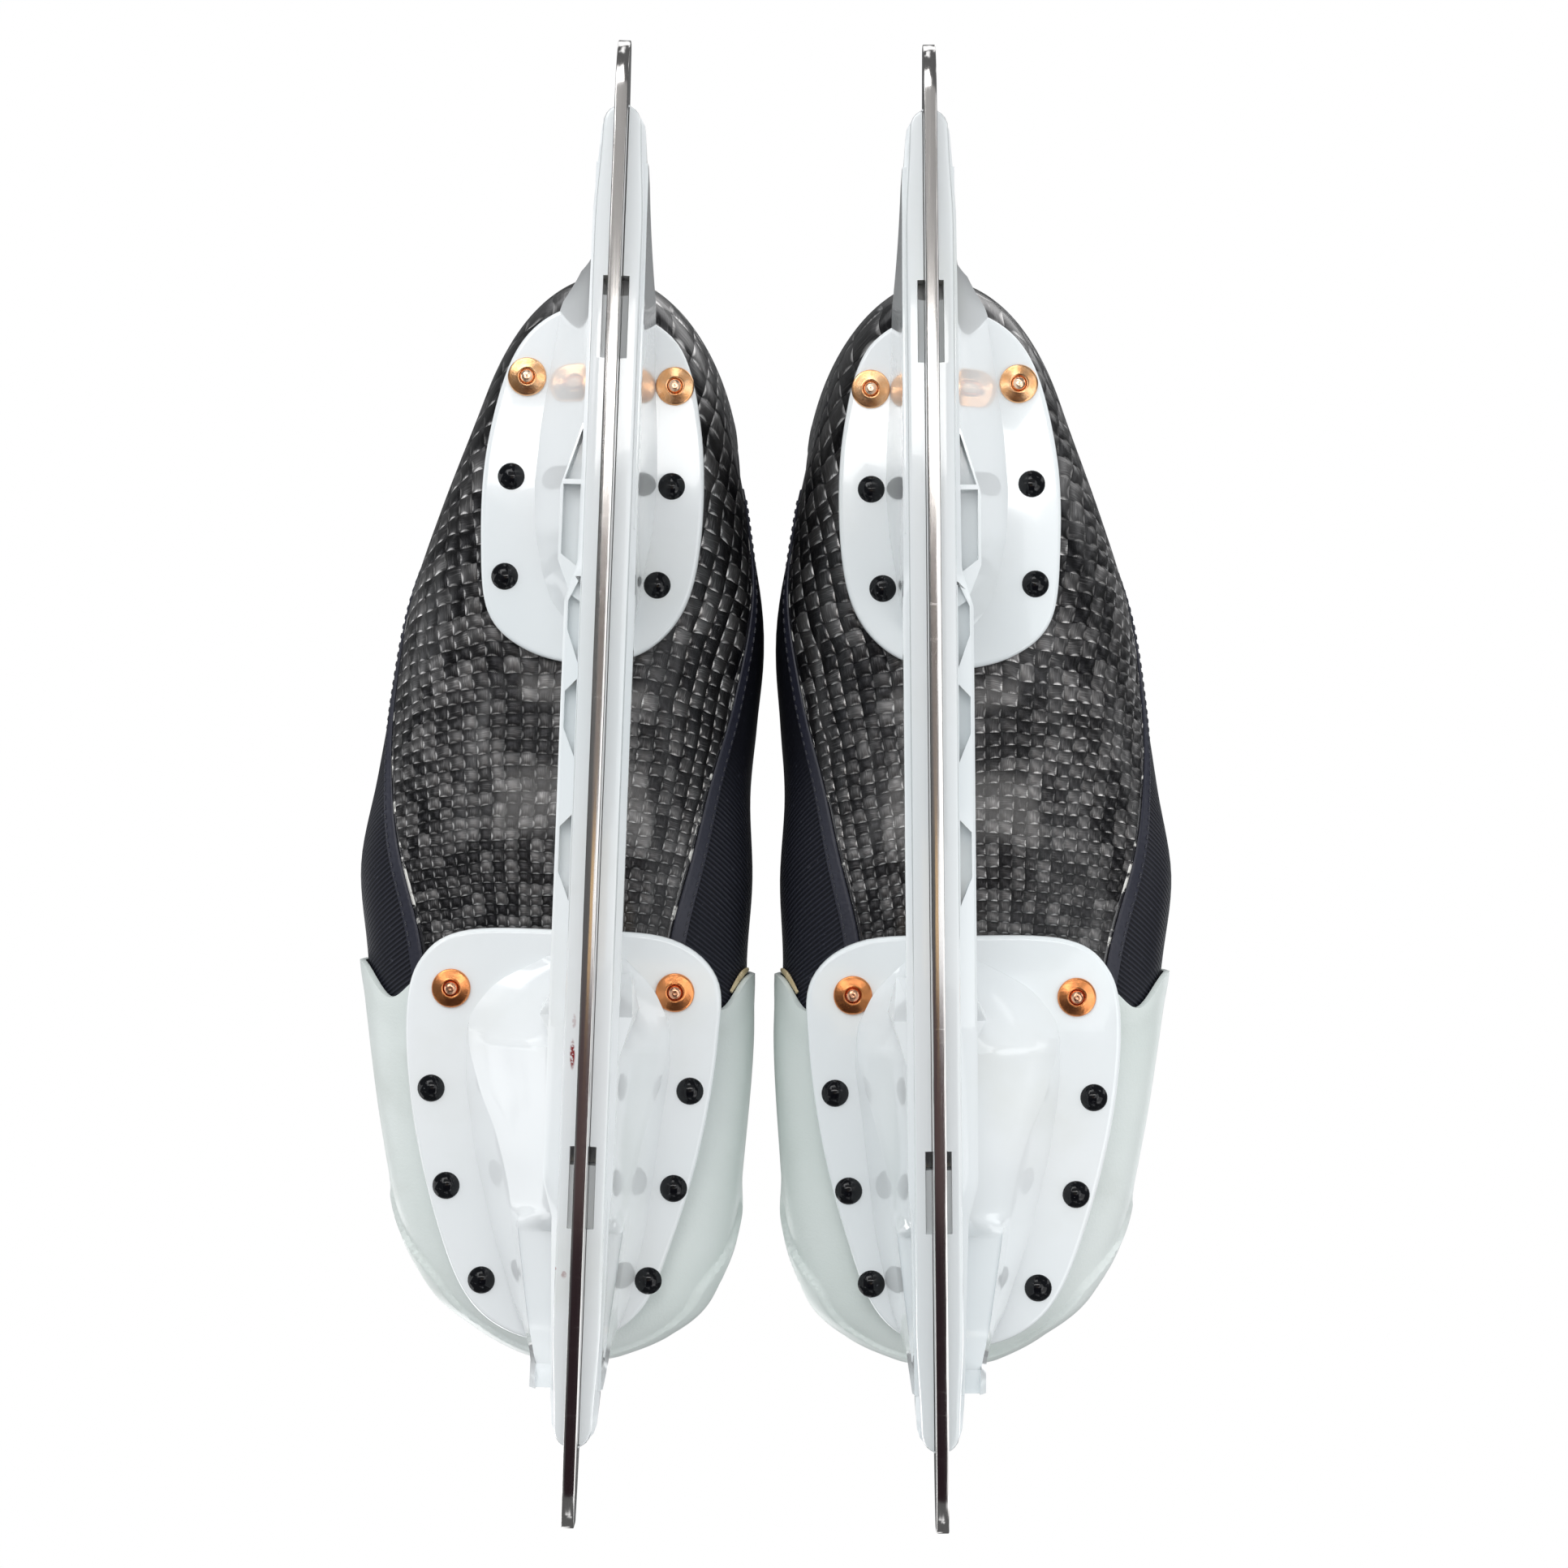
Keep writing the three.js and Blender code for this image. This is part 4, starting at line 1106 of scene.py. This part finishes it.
def inner_sole(tag, side):
    k = span(1.5, HEEL_CORNER, 5)[:, None]
    t = np.linspace(-1, 1, 25)[None, :]
    sole_share = 0.17
    edge = np.where(t > 0, shell_edge(k, 1), shell_edge(k, -1))
    reach = np.minimum(sole_share, edge - 0.02)
    board = wall(f"{tag}_lasting_board", k, t * reach, 3.1, 5.0, side, rim=0.4)
    dress(board, "insole", f"{tag}_skate", [f"{tag}_insole_board"])
    k = span(2, HEEL_CORNER, 6)[:, None]
    arch = 1.4 * np.exp(-((k - 10.2) / 1.6) ** 2) * smooth_step(-0.2, 0.9, -t)
    bed = wall(f"{tag}_foam_footbed", k, t * sole_share, 9.6, 13.0 + arch, side, rim=1.0)
    dress(bed, "insole", f"{tag}_skate", [f"{tag}_footbed"])


def glue_marks(tag, side):
    """Dried adhesive squeezed out at the medial corner of the toe cap."""
    count = 30
    share = -np.linspace(0.33, 0.46, count)
    k = cap_edge(share) + 0.06
    swell = np.sin(np.linspace(0, math.pi, count))
    wobble = 0.5 + 0.45 * np.abs(np.sin(np.arange(count) * 1.7)) * swell
    obj = bead(f"{tag}_glue", boot(k, share, -0.3), side, wobble, 0.6, skin_normals(k, share))
    return dress(obj, "glue", f"{tag}_skate")


# ---------------------------------------------------------------- holder
RAIL_ENDS = (-160.5, 163.5)
# Half width of the rail's top shelf at places along y, on the lateral and on the medial side.
BRIDGE = {
    1: [(-160, 5.2), (-150, 6.2), (-106, 7.6), (-97, 10.2), (44, 10.2), (53, 7.4), (140, 6.8), (152, 6.0),
        (164, 5)],
    -1: [(-160, 5.2), (-150, 5.8), (-106, 6.4), (-97, 7.0), (44, 7.0), (53, 6.8), (140, 6.4), (152, 5.8),
         (164, 5)],
}


def rail_section(y):
    """The rail's cross-section at a place along it, as a closed ring of x, z."""
    toe_end, heel_end = RAIL_ENDS
    gap = min(y - toe_end, heel_end - y)
    end_radius, end_flange, more_flange = 4.5, 4.6, 1.1
    round_end = math.sqrt(max(1 - (1 - min(gap / end_radius, 1)) ** 2, 0.0))
    flange = (end_flange + more_flange * float(smooth_step(3, 30, gap))) * max(round_end, 0.35)
    web = (flange - 0.9) - 0.7 * float(smooth_step(-62, -50, y) * (1 - smooth_step(30, 60, y)))
    toe_drop = 6.5 * float(1 - smooth_step(toe_end, -146, y))
    heel_drop = 5.5 * float(smooth_step(148, heel_end, y))
    top = RAIL_TOP - toe_drop - heel_drop
    inner = mouth = GROOVE_HALF
    roof = GROOVE_ROOF
    for lug in LUG_Y.values():
        if lug - POCKET["low"] < y < lug + POCKET["high"]:
            mouth = POCKET["half"]
            roof = POCKET["roof"]
            if y > lug + POCKET["high"] - POCKET["deep"]:
                inner = mouth
    roof = min(roof, top - 1.2)
    ring = []
    for hand in (1, -1):
        bridge = max(float(np.interp(y, *zip(*BRIDGE[hand]))) * max(round_end, 0.6), flange - 0.5)
        half = [(inner, roof), (inner, 12.9), (mouth, 11.8), (mouth, 11.2), (mouth + 0.12, RAIL_BOTTOM),
                (flange - 0.8, RAIL_BOTTOM), (flange - 0.25, 11.2), (flange, 11.8), (flange, 13.3),
                (flange - 0.3, 14.1), (web, 15.5), (web, 18.3), (bridge - 0.6, min(20.2, top - 2)),
                (bridge, min(21.0, top - 1.5)), (bridge, top - 0.9), (bridge - 0.8, top)]
        ring += [(hand * x, z) for x, z in half][::hand]
    return ring


def rail(side):
    stations = list(np.arange(-158, 162, 2.0)) + [-160.3, -159.8, -159.2, 161.5, 162.4, 163.0, 163.3]
    for lug in LUG_Y.values():
        for edge in (lug - POCKET["low"], lug + POCKET["high"], lug + POCKET["high"] - POCKET["deep"]):
            stations += [edge - 0.04, edge + 0.04]
    rings = [[(x, y, z) for x, z in rail_section(y)] for y in sorted(stations)]
    body = tube_mesh("rail", rings, side, sharp=32)
    scoops = [[(6.3, 50), (9.2, 44), (9.2, 37), (6.3, 29)], [(6.3, 25), (9.2, 22), (9.2, 13), (6.3, 6)],
              [(6.3, -8), (9.2, -11), (9.2, -22), (6.3, -29)]]
    cut(body, [slab("scoop", outline, 17, 23.2, side) for outline in scoops])
    return body


# Reach of the towers in x at places along y: where they meet the plate, and at the crease below it.
FRONT_AT_PLATE = {
    1: [(-148, 10), (-140, 14.7), (-132, 18.4), (-114, 24.7), (-94, 30), (-75, 33), (-62, 32.9), (-51, 26),
        (-44, 12.7)],
    -1: [(-148, 5.5), (-139, 7.8), (-131, 10.9), (-112, 14.7), (-84, 17.6), (-70, 19.4), (-60, 18.6),
         (-52, 14.7), (-44, 6.4)],
}
FRONT_AT_CREASE = {
    1: [(-148, 11.6), (-134, 14.9), (-112, 18.2), (-103, 19.1), (-95, 20.9), (-88, 23.2), (-79, 27.8),
        (-68, 31.8), (-60, 32.4), (-51, 25.8), (-44, 12.6)],
    -1: [(-148, 6.4), (-134, 7.8), (-112, 10.2), (-103, 10.8), (-95, 11.8), (-88, 13.2), (-79, 15.6),
         (-68, 18.6), (-60, 18.3), (-51, 14), (-44, 6.3)],
}
REAR_AT_PLATE = {
    1: [(39, 13), (46, 17.2), (53, 19.2), (64, 21.2), (75, 21.7), (90, 20.6), (103, 18.9), (121, 16.4),
        (129, 12.5), (129.4, 9.8), (151, 7.0)],
    -1: [(39, 5.2), (46, 6.4), (53, 7.4), (64, 9.0), (76, 9.9), (90, 9.3), (103, 8.4), (121, 7.8),
         (138, 6.9), (151, 6.2)],
}


def front_section(y, hand):
    """Half of the front tower's cross-section: flare, channel beside the outer strut, crease and skirt."""
    heel_slope = float(np.clip((y + 66) / 22, 0, 1)) ** 0.75
    toe_slope = float(np.clip((-141 - y) / 7, 0, 1)) ** 0.9
    low = TOWER_FOOT + (PLATE["front"] - TOWER_FOOT) * heel_slope
    high = PLATE["front"] + INTO_PLATE - 29 * toe_slope
    plate_x = float(eased(FRONT_AT_PLATE[hand], y, 25))
    crease_x = float(eased(FRONT_AT_CREASE[hand], y, 25))
    crease_z = min(max(51 - 10.5 * float(smooth_step(62, 96, -y)), low + 0.3), high - 0.6)
    rail_x = 6.0
    nose = float(smooth_step(-132, -148, y))
    channel = float(np.clip((-105.5 - y) / 6, 0, 1))
    flare = 1.9 - 0.7 * channel
    share = np.linspace(0, 1, 9)
    flare_x = rail_x + (crease_x - rail_x) * share**flare
    flare_z = low + (crease_z - low) * share
    wall_x = crease_x - (1.6 if hand > 0 else 0.9)
    roof = min(35.0 - 2.0 * nose, high - 1.0)
    for i in range(1, 8):
        inside_x = rail_x + (wall_x - rail_x) * min(max((i - 2) / 4, 0), 1)
        inside_z = TOWER_FOOT + (roof - TOWER_FOOT) * min(i / 2, 1)
        if i == 7:
            inside_z = max(crease_z - 6, low + 0.4)
        edge = min(channel * 1.6, 1.0)
        flare_x[i] += (inside_x - flare_x[i]) * edge
        flare_z[i] += (inside_z - flare_z[i]) * channel
    half = [(0, low)] + list(zip(flare_x, flare_z))
    half += [(crease_x + (plate_x - crease_x) * t, crease_z + (high - crease_z) * t) for t in (0.08, 0.5, 1)]
    half += [(plate_x * 0.5, high), (0, high)]
    return [(hand * x, z) for x, z in half]


def rear_section(y, hand):
    """Half of the rear tower's cross-section, between its sloping toe and heel edges."""
    toe_slope = float(np.clip((62 - y) / 23, 0, 1)) ** 0.8
    heel_slope = float(np.clip((y - 122) / 29, 0, 1)) ** 1.15
    low = TOWER_FOOT + (PLATE["rear"] - TOWER_FOOT) * toe_slope
    high = PLATE["rear"] + INTO_PLATE - 36 * heel_slope
    plate_x = float(np.interp(y, *zip(*REAR_AT_PLATE[hand])))
    rail_x = min(6.4, plate_x)
    full = PLATE["rear"] + INTO_PLATE - low
    flare = 1.35 + 0.5 * float(smooth_step(85, 55, y))
    share = np.linspace(0, 1, 13)
    z = low + (high - low) * share
    x = rail_x + (plate_x - rail_x) * (share * (high - low) / full) ** flare
    half = [(0, low)] + list(zip(x, z)) + [(x[-1] * 0.5, high), (0, high)]
    return [(hand * px, pz) for px, pz in half]


def section_sweep(name, stretches, section, side):
    """A solid through cross-sections made of two halves, over stretches along y."""
    rings = []
    for y in np.concatenate([np.linspace(*stretch) for stretch in stretches]):
        ring = section(y, 1) + section(y, -1)[::-1][1:-1]
        rings.append([(x, y, z) for x, z in ring])
    return tube_mesh(name, rings, side, sharp=38)


def hull(name, corners, side):
    """The smallest convex solid round some corners."""
    work = bmesh.new()
    for corner in to_world(corners, side):
        work.verts.new(corner)
    bmesh.ops.convex_hull(work, input=work.verts)
    mesh = bpy.data.meshes.new(name)
    work.to_mesh(mesh)
    work.free()
    obj = linked(name, mesh)
    face_outwards(obj)
    return obj


def gusset(reach, hand, side):
    """The faceted web between the rail and the heel end of the front tower."""
    corners = [(5, -57, 21), (reach, -57.3, 26.5), (5, -47, 51), (8.4, -47, 51.5), (reach + 1, -56, 50),
               (5, -68, 22), (7, -68, 24)]
    return hull("gusset", [(hand * x, y, z) for x, y, z in corners], side)


def slab(name, outline, low, high, side):
    """A convex slab over an outline of x, y points between two heights."""
    return hull(name, [(x, y, z) for x, y in outline for z in (low, high)], side)


def rear_web(side):
    """The web with two shallow cells that stiffens the rail beside the rear tower."""
    outline = [(5, 88.5), (7.4, 87.5), (12.2, 72), (12.2, 54), (8.8, 45.5), (5, 43)]
    web = slab("web", outline, 21.2, 29, side)
    cells = [slab("cell", [(6.9, 86), (7.3, 86), (6.9, 73.7), (11.2, 73.7)], 18, 26, side),
             slab("cell", [(6.9, 72.5), (11.5, 72.5), (11.5, 55.5), (6.9, 52)], 18, 26, side)]
    cut(web, cells)
    return web


def plate(outline, low, side, count=120):
    """A flat plate with a rounded lower edge."""
    base = spline_outline(outline, count)
    levels = [(1.3, 0.0), (0.7, 0.06), (0.3, 0.3), (0.06, 0.75), (0.0, 1.3), (0.0, PLATE["thick"])]
    rings = []
    for inset, rise in levels:
        flat = inset_outline(base, inset)
        rings.append(np.column_stack([flat, np.full(count, low + rise)]))
    return tube_mesh("plate", rings, side, sharp=60)


def sole_height(points):
    """Height of the shell's underside over places x, y."""
    k, share = np.meshgrid(np.linspace(0.5, 14.5, 241), np.linspace(-0.3, 0.3, 161), indexing="ij")
    skin = boot(k, share, 0.0).reshape(-1, 3)
    nearest = [((skin[:, :2] - p) ** 2).sum(-1).argmin() for p in points]
    return skin[nearest, 2]


def pad(outline, low, side, count=72):
    """The moulded rim on top of a plate that fills the gap to the rounded sole."""
    base = spline_outline(outline, count)
    insets = (2.6, 7.0, 12.0)
    sunk, into_sole, least = 0.3, 0.6, 0.1
    rings = [np.column_stack([inset_outline(base, insets[0]), np.full(count, low - sunk)])]
    for inset in insets:
        flat = inset_outline(base, inset)
        height = np.maximum(sole_height(flat) + into_sole, low + least)
        rings.append(np.column_stack([flat, height]))
    return tube_mesh("pad", rings, side, sharp=60)


# Stretches of the towers along y: first place, last place and number of cross-sections.
FRONT_STRETCHES = [(-148, -112, 19), (-111.5, -105, 8), (-104, -66, 25), (-65, -44.2, 22)]
REAR_STRETCHES = [(39.2, 62, 20), (64, 120, 24), (122, 129, 6), (129.4, 151, 14)]


def holder(tag, side):
    front = section_sweep("front_tower", FRONT_STRETCHES, front_section, side)
    rear = section_sweep("rear_tower", REAR_STRETCHES, rear_section, side)
    parts = [rail(side), front, rear, rear_web(side), gusset(12.7, 1, side), gusset(10, -1, side)]
    for outline, low in ((FRONT_PLATE, PLATE["front"]), (REAR_PLATE, PLATE["rear"])):
        parts += [plate(outline, low, side), pad(outline, low + PLATE["thick"], side)]
    obj = joined(f"{tag}_blade_holder", parts)
    return dress(obj, "white", f"{tag}_skate", [f"{tag}_holder"])


# ---------------------------------------------------------------- runner and fasteners
def runner(tag, side):
    """The steel runner: rising tips, rocker, a tang with two necked lugs, and eased edges."""
    half = RUNNER["half"]
    sole = [(y, 0.9 * (max(abs(y) - 90, 0) / 60) ** 2) for y in np.linspace(-160, 165, 66)]
    toe = [(-half, 5.4), (-half + 0.6, 4.6), (-half + 4, 3.0), (-half + 10, 2.0)]
    heel = [(169, 2.0), (173, 3.3), (176, 5.2), (178, 7.6), (half, 9.4)]
    crown = [(half - 0.3, 11.6), (half - 1.6, 13.0), (half - 4, 13.6), (half - 13, 16.2),
             (half - 24, RUNNER["top"])]
    lug = [(7.8, RUNNER["top"]), (6.6, 28.4), (5.8, 29.4), (3.9, 30.0), (3.1, 31.0), (3.0, 33.0)]
    lug += [(-y, z) for y, z in reversed(lug)]
    back = [(LUG_Y[end] + y, z) for end in ("rear", "front") for y, z in lug]
    nose = [(-half + 24, RUNNER["top"]), (-half + 8, 15.4), (-half + 2, 13.2), (-half + 0.4, 12.4),
            (-half, 11.6)]
    outline = toe + sole + heel + crown + back + nose
    count = len(outline)
    points, faces = [], []
    half_thick = RUNNER["thick"] / 2
    for x in (-half_thick, half_thick):
        points += [(x, y, z) for y, z in outline]
    faces.append(tuple(range(count)))
    faces.append(tuple(range(2 * count - 1, count - 1, -1)))
    faces += [(i, (i + 1) % count, count + (i + 1) % count, count + i) for i in range(count)]
    obj = new_object(f"{tag}_steel_blade", points, faces, side, sharp=30)
    face_outwards(obj)
    bevel = obj.modifiers.new("eased", "BEVEL")
    bevel.width = 0.22 * MM
    bevel.segments = 2
    bevel.limit_method = "ANGLE"
    bevel.angle_limit = math.radians(50)
    settle(obj, sharp=28)
    return dress(obj, "steel", f"{tag}_runner", [f"{tag}_runner"])


def rivet_row(tag, finish, table):
    """Places of one finish of rivet, its facings straight down, and the CAD nodes it stands for."""
    places = [(x, y, PLATE[end]) for end in table for x, y in table[end]]
    facings = np.tile(np.array([0.0, 0.0, -1.0]), (len(places), 1))
    names = [f"{tag}_{end}_{finish}_rivet_{i + 1}" for end in table for i in range(len(table[end]))]
    return places, facings, names


def rivets(tag, side):
    places, facings, names = rivet_row(tag, "black", BLACK)
    head = turned("head", [(0.02, 1.75), (0.9, 1.68), (1.8, 1.42), (2.6, 0.95), (3.15, 0.42), (3.42, 0.12),
                           (3.45, -0.05), (1.3, -0.1), (1.25, -7.5), (0.02, -7.5)], 28)
    obj = placed_copies(f"{tag}_black_rivets", places, facings, side, head, "lacquer", 3)
    dress(obj, "lacquer", f"{tag}_skate", names)

    places, facings, names = rivet_row(tag, "copper", COPPER)
    washer = turned("washer", [(1.9, 0.0), (1.9, 0.75), (2.05, 1.05), (2.35, 1.15), (2.65, 1.0),
                               (4.3, 0.95), (4.7, 0.78), (4.9, 0.45), (4.9, 0.0), (1.9, 0.0)], 44)
    obj = placed_copies(f"{tag}_copper_burrs", places, facings, side, washer, "burr", 5)
    dress(obj, "burr", f"{tag}_skate")
    peen = turned("peen", [(0.02, 2.3), (0.5, 2.42), (1.0, 2.36), (1.42, 2.1), (1.62, 1.75), (1.7, 1.2),
                           (1.86, 0.95), (1.88, 0.2), (1.3, -0.1), (1.25, -7.5), (0.02, -7.5)], 16)
    obj = placed_copies(f"{tag}_copper_peens", places, facings, side, peen, "peen", 7)
    dress(obj, "peen", f"{tag}_skate", names)


def skate(tag, side):
    holder(tag, side)
    runner(tag, side)
    rivets(tag, side)
    carbon_shell(tag, side)
    resin_beads(tag, side)
    toe_cap(tag, side)
    for word, hand in HANDS.items():
        quarter(tag, side, hand, word)
        border_strip(tag, side, hand, word)
        facing(tag, side, hand, word)
    eyelets(tag, side)
    stitching(tag, side)
    tongue(tag, side)
    tongue_binding(tag, side)
    ankle_liner(tag, side)
    collar_roll(tag, side)
    tendon_guard(tag, side)
    inner_sole(tag, side)
    glue_marks(tag, side)
    for end in ("front", "rear"):
        for piece in ("bolt", "nut"):
            node = frame["nodes"][f"{tag}_{end}_runner_{piece}"]
            node.data.materials.clear()
            node.data.materials.append(MATERIALS["zinc"])


# ---------------------------------------------------------------- studio
# Place in millimetres from the row's centre, and turn in degrees about the line of sight.
CAMERA_PLACE = (-4.3, 0.3, -842.0)
CAMERA_ROLL = 0.83
LENS = 81.34


def camera():
    """Straight below the blades, looking up, with the heels upwards in view."""
    data = bpy.data.cameras.new("camera")
    data.sensor_width = 36
    data.lens = LENS
    data.clip_start = 0.01
    obj = linked("camera", data)
    roll = math.radians(CAMERA_ROLL)
    right = Vector((-math.cos(roll), math.sin(roll), 0))
    up = Vector((math.sin(roll), math.cos(roll), 0))
    back = Vector((0, 0, -1))
    turn = Matrix((right, up, back)).transposed().to_4x4()
    obj.matrix_world = Matrix.Translation([c * MM for c in CAMERA_PLACE]) @ turn
    bpy.context.scene.camera = obj
    bpy.context.scene.view_settings.view_transform = "Standard"


def lamp(name, place, target, size, power):
    """A square white lamp turned towards a target."""
    data = bpy.data.lights.new(name, "AREA")
    data.shape = "RECTANGLE"
    data.size = size
    data.size_y = size
    data.energy = power
    obj = linked(name, data)
    obj.location = place
    obj.rotation_euler = (Vector(target) - Vector(place)).to_track_quat("-Z", "Y").to_euler()


def flat_mesh(name, x_ends, y_ends, z):
    """One level rectangle, facing up, in metres."""
    (x_low, x_high), (y_low, y_high) = x_ends, y_ends
    corners = [(x_low, y_low, z), (x_high, y_low, z), (x_high, y_high, z), (x_low, y_high, z)]
    mesh = bpy.data.meshes.new(name)
    mesh.from_pydata(corners, [], [(0, 1, 2, 3)])
    return mesh


def card(name, x_half, y_low, y_high, height, color, strength):
    """A glowing card that only reflections see."""
    mesh = flat_mesh(name, (-x_half, x_half), (y_low, y_high), -height)
    obj = linked(name, mesh)
    s = Shader(name)
    glow = s.node("ShaderNodeEmission", {}, {"Color": paint(color), "Strength": strength})
    s.node("ShaderNodeOutputMaterial", {}, {"Surface": glow})
    mesh.materials.append(s.material)
    obj.visible_camera = False
    obj.visible_diffuse = False
    obj.visible_shadow = False


def studio():
    """A white room lit from all round, with a dim figure and a strip light beside the camera."""
    card("figure", 0.42, -0.75, -0.23, 0.90, (0.80, 0.42, 0.55), 0.03)
    card("shirt", 0.42, -0.23, -0.098, 0.90, (1.0, 0.66, 0.68), 0.10)
    card("hand", 0.10, -0.098, -0.028, 0.89, (1.0, 0.70, 0.38), 0.95)
    card("sleeve", 0.20, -0.028, 0.155, 0.90, (1.0, 0.88, 0.82), 0.26)
    card("strip", 0.26, 0.160, 0.235, 0.88, (1.0, 0.98, 0.96), 7.0)
    card("ceiling", 0.45, 0.235, 0.70, 0.90, (1.0, 0.99, 0.98), 0.42)
    lamp("under_key", (0.30, 0.75, -1.10), (0, 0, 0.05), 0.9, 6.5)
    lamp("under_fill", (-0.85, -0.45, -0.9), (0, 0, 0.05), 0.9, 3.0)
    lamp("over_key", (0.9, -0.9, 1.3), (0, 0, 0.1), 1.0, 9)
    lamp("over_back", (-0.8, 1.1, 1.0), (0, 0, 0.1), 1.0, 5)
    world = bpy.data.worlds.new("studio")
    bpy.context.scene.world = world
    sky = Sky(world)
    toward = sky.position("Generated")
    _, y, z = sky.axes(toward)
    rise = sky.ramp((z + 1) / 2, [(0.03, (0.72,) * 3), (0.30, (1.2,) * 3), (0.55, (0.95,) * 3),
                                  (0.75, (0.55,) * 3)])
    toe_shade = (1 - y.step(-0.75, 0.25)) * (1 - z.step(-0.1, 0.5))
    windows = sky.noise(toward, 1.6, 2).step(0.52, 0.60)
    daylight = (0.97, 0.985, 1.0, 1)
    diffuse = sky.node("ShaderNodeBackground", {}, {0: daylight, 1: rise * (1 - toe_shade * 0.6)})
    glossy = sky.node("ShaderNodeBackground", {}, {0: daylight, 1: 0.14 + windows * 1.5})
    white = sky.node("ShaderNodeBackground", {}, {0: (1, 1, 1, 1), 1: 1.0})
    mirrored = sky.node("ShaderNodeLightPath", output="Is Glossy Ray")
    seen = sky.node("ShaderNodeLightPath", output="Is Camera Ray")
    room = sky.node("ShaderNodeMixShader", {}, {0: mirrored, 1: diffuse, 2: glossy})
    room = sky.node("ShaderNodeMixShader", {}, {0: seen, 1: room, 2: white})
    sky.node("ShaderNodeOutputWorld", {}, {"Surface": room})


def floor():
    """The pale floor that the blades stand on; it blocks no light from below."""
    mesh = flat_mesh("floor", (-3.0, 3.0), (-3.0, 3.0), 0)
    obj = linked("floor", mesh)
    obj.data.materials.append(floor_paint())
    obj.visible_shadow = False
    obj.visible_glossy = False
    obj.visible_diffuse = False


camera()
studio()
floor()
for tag, side in SIDES.items():
    skate(tag, side)
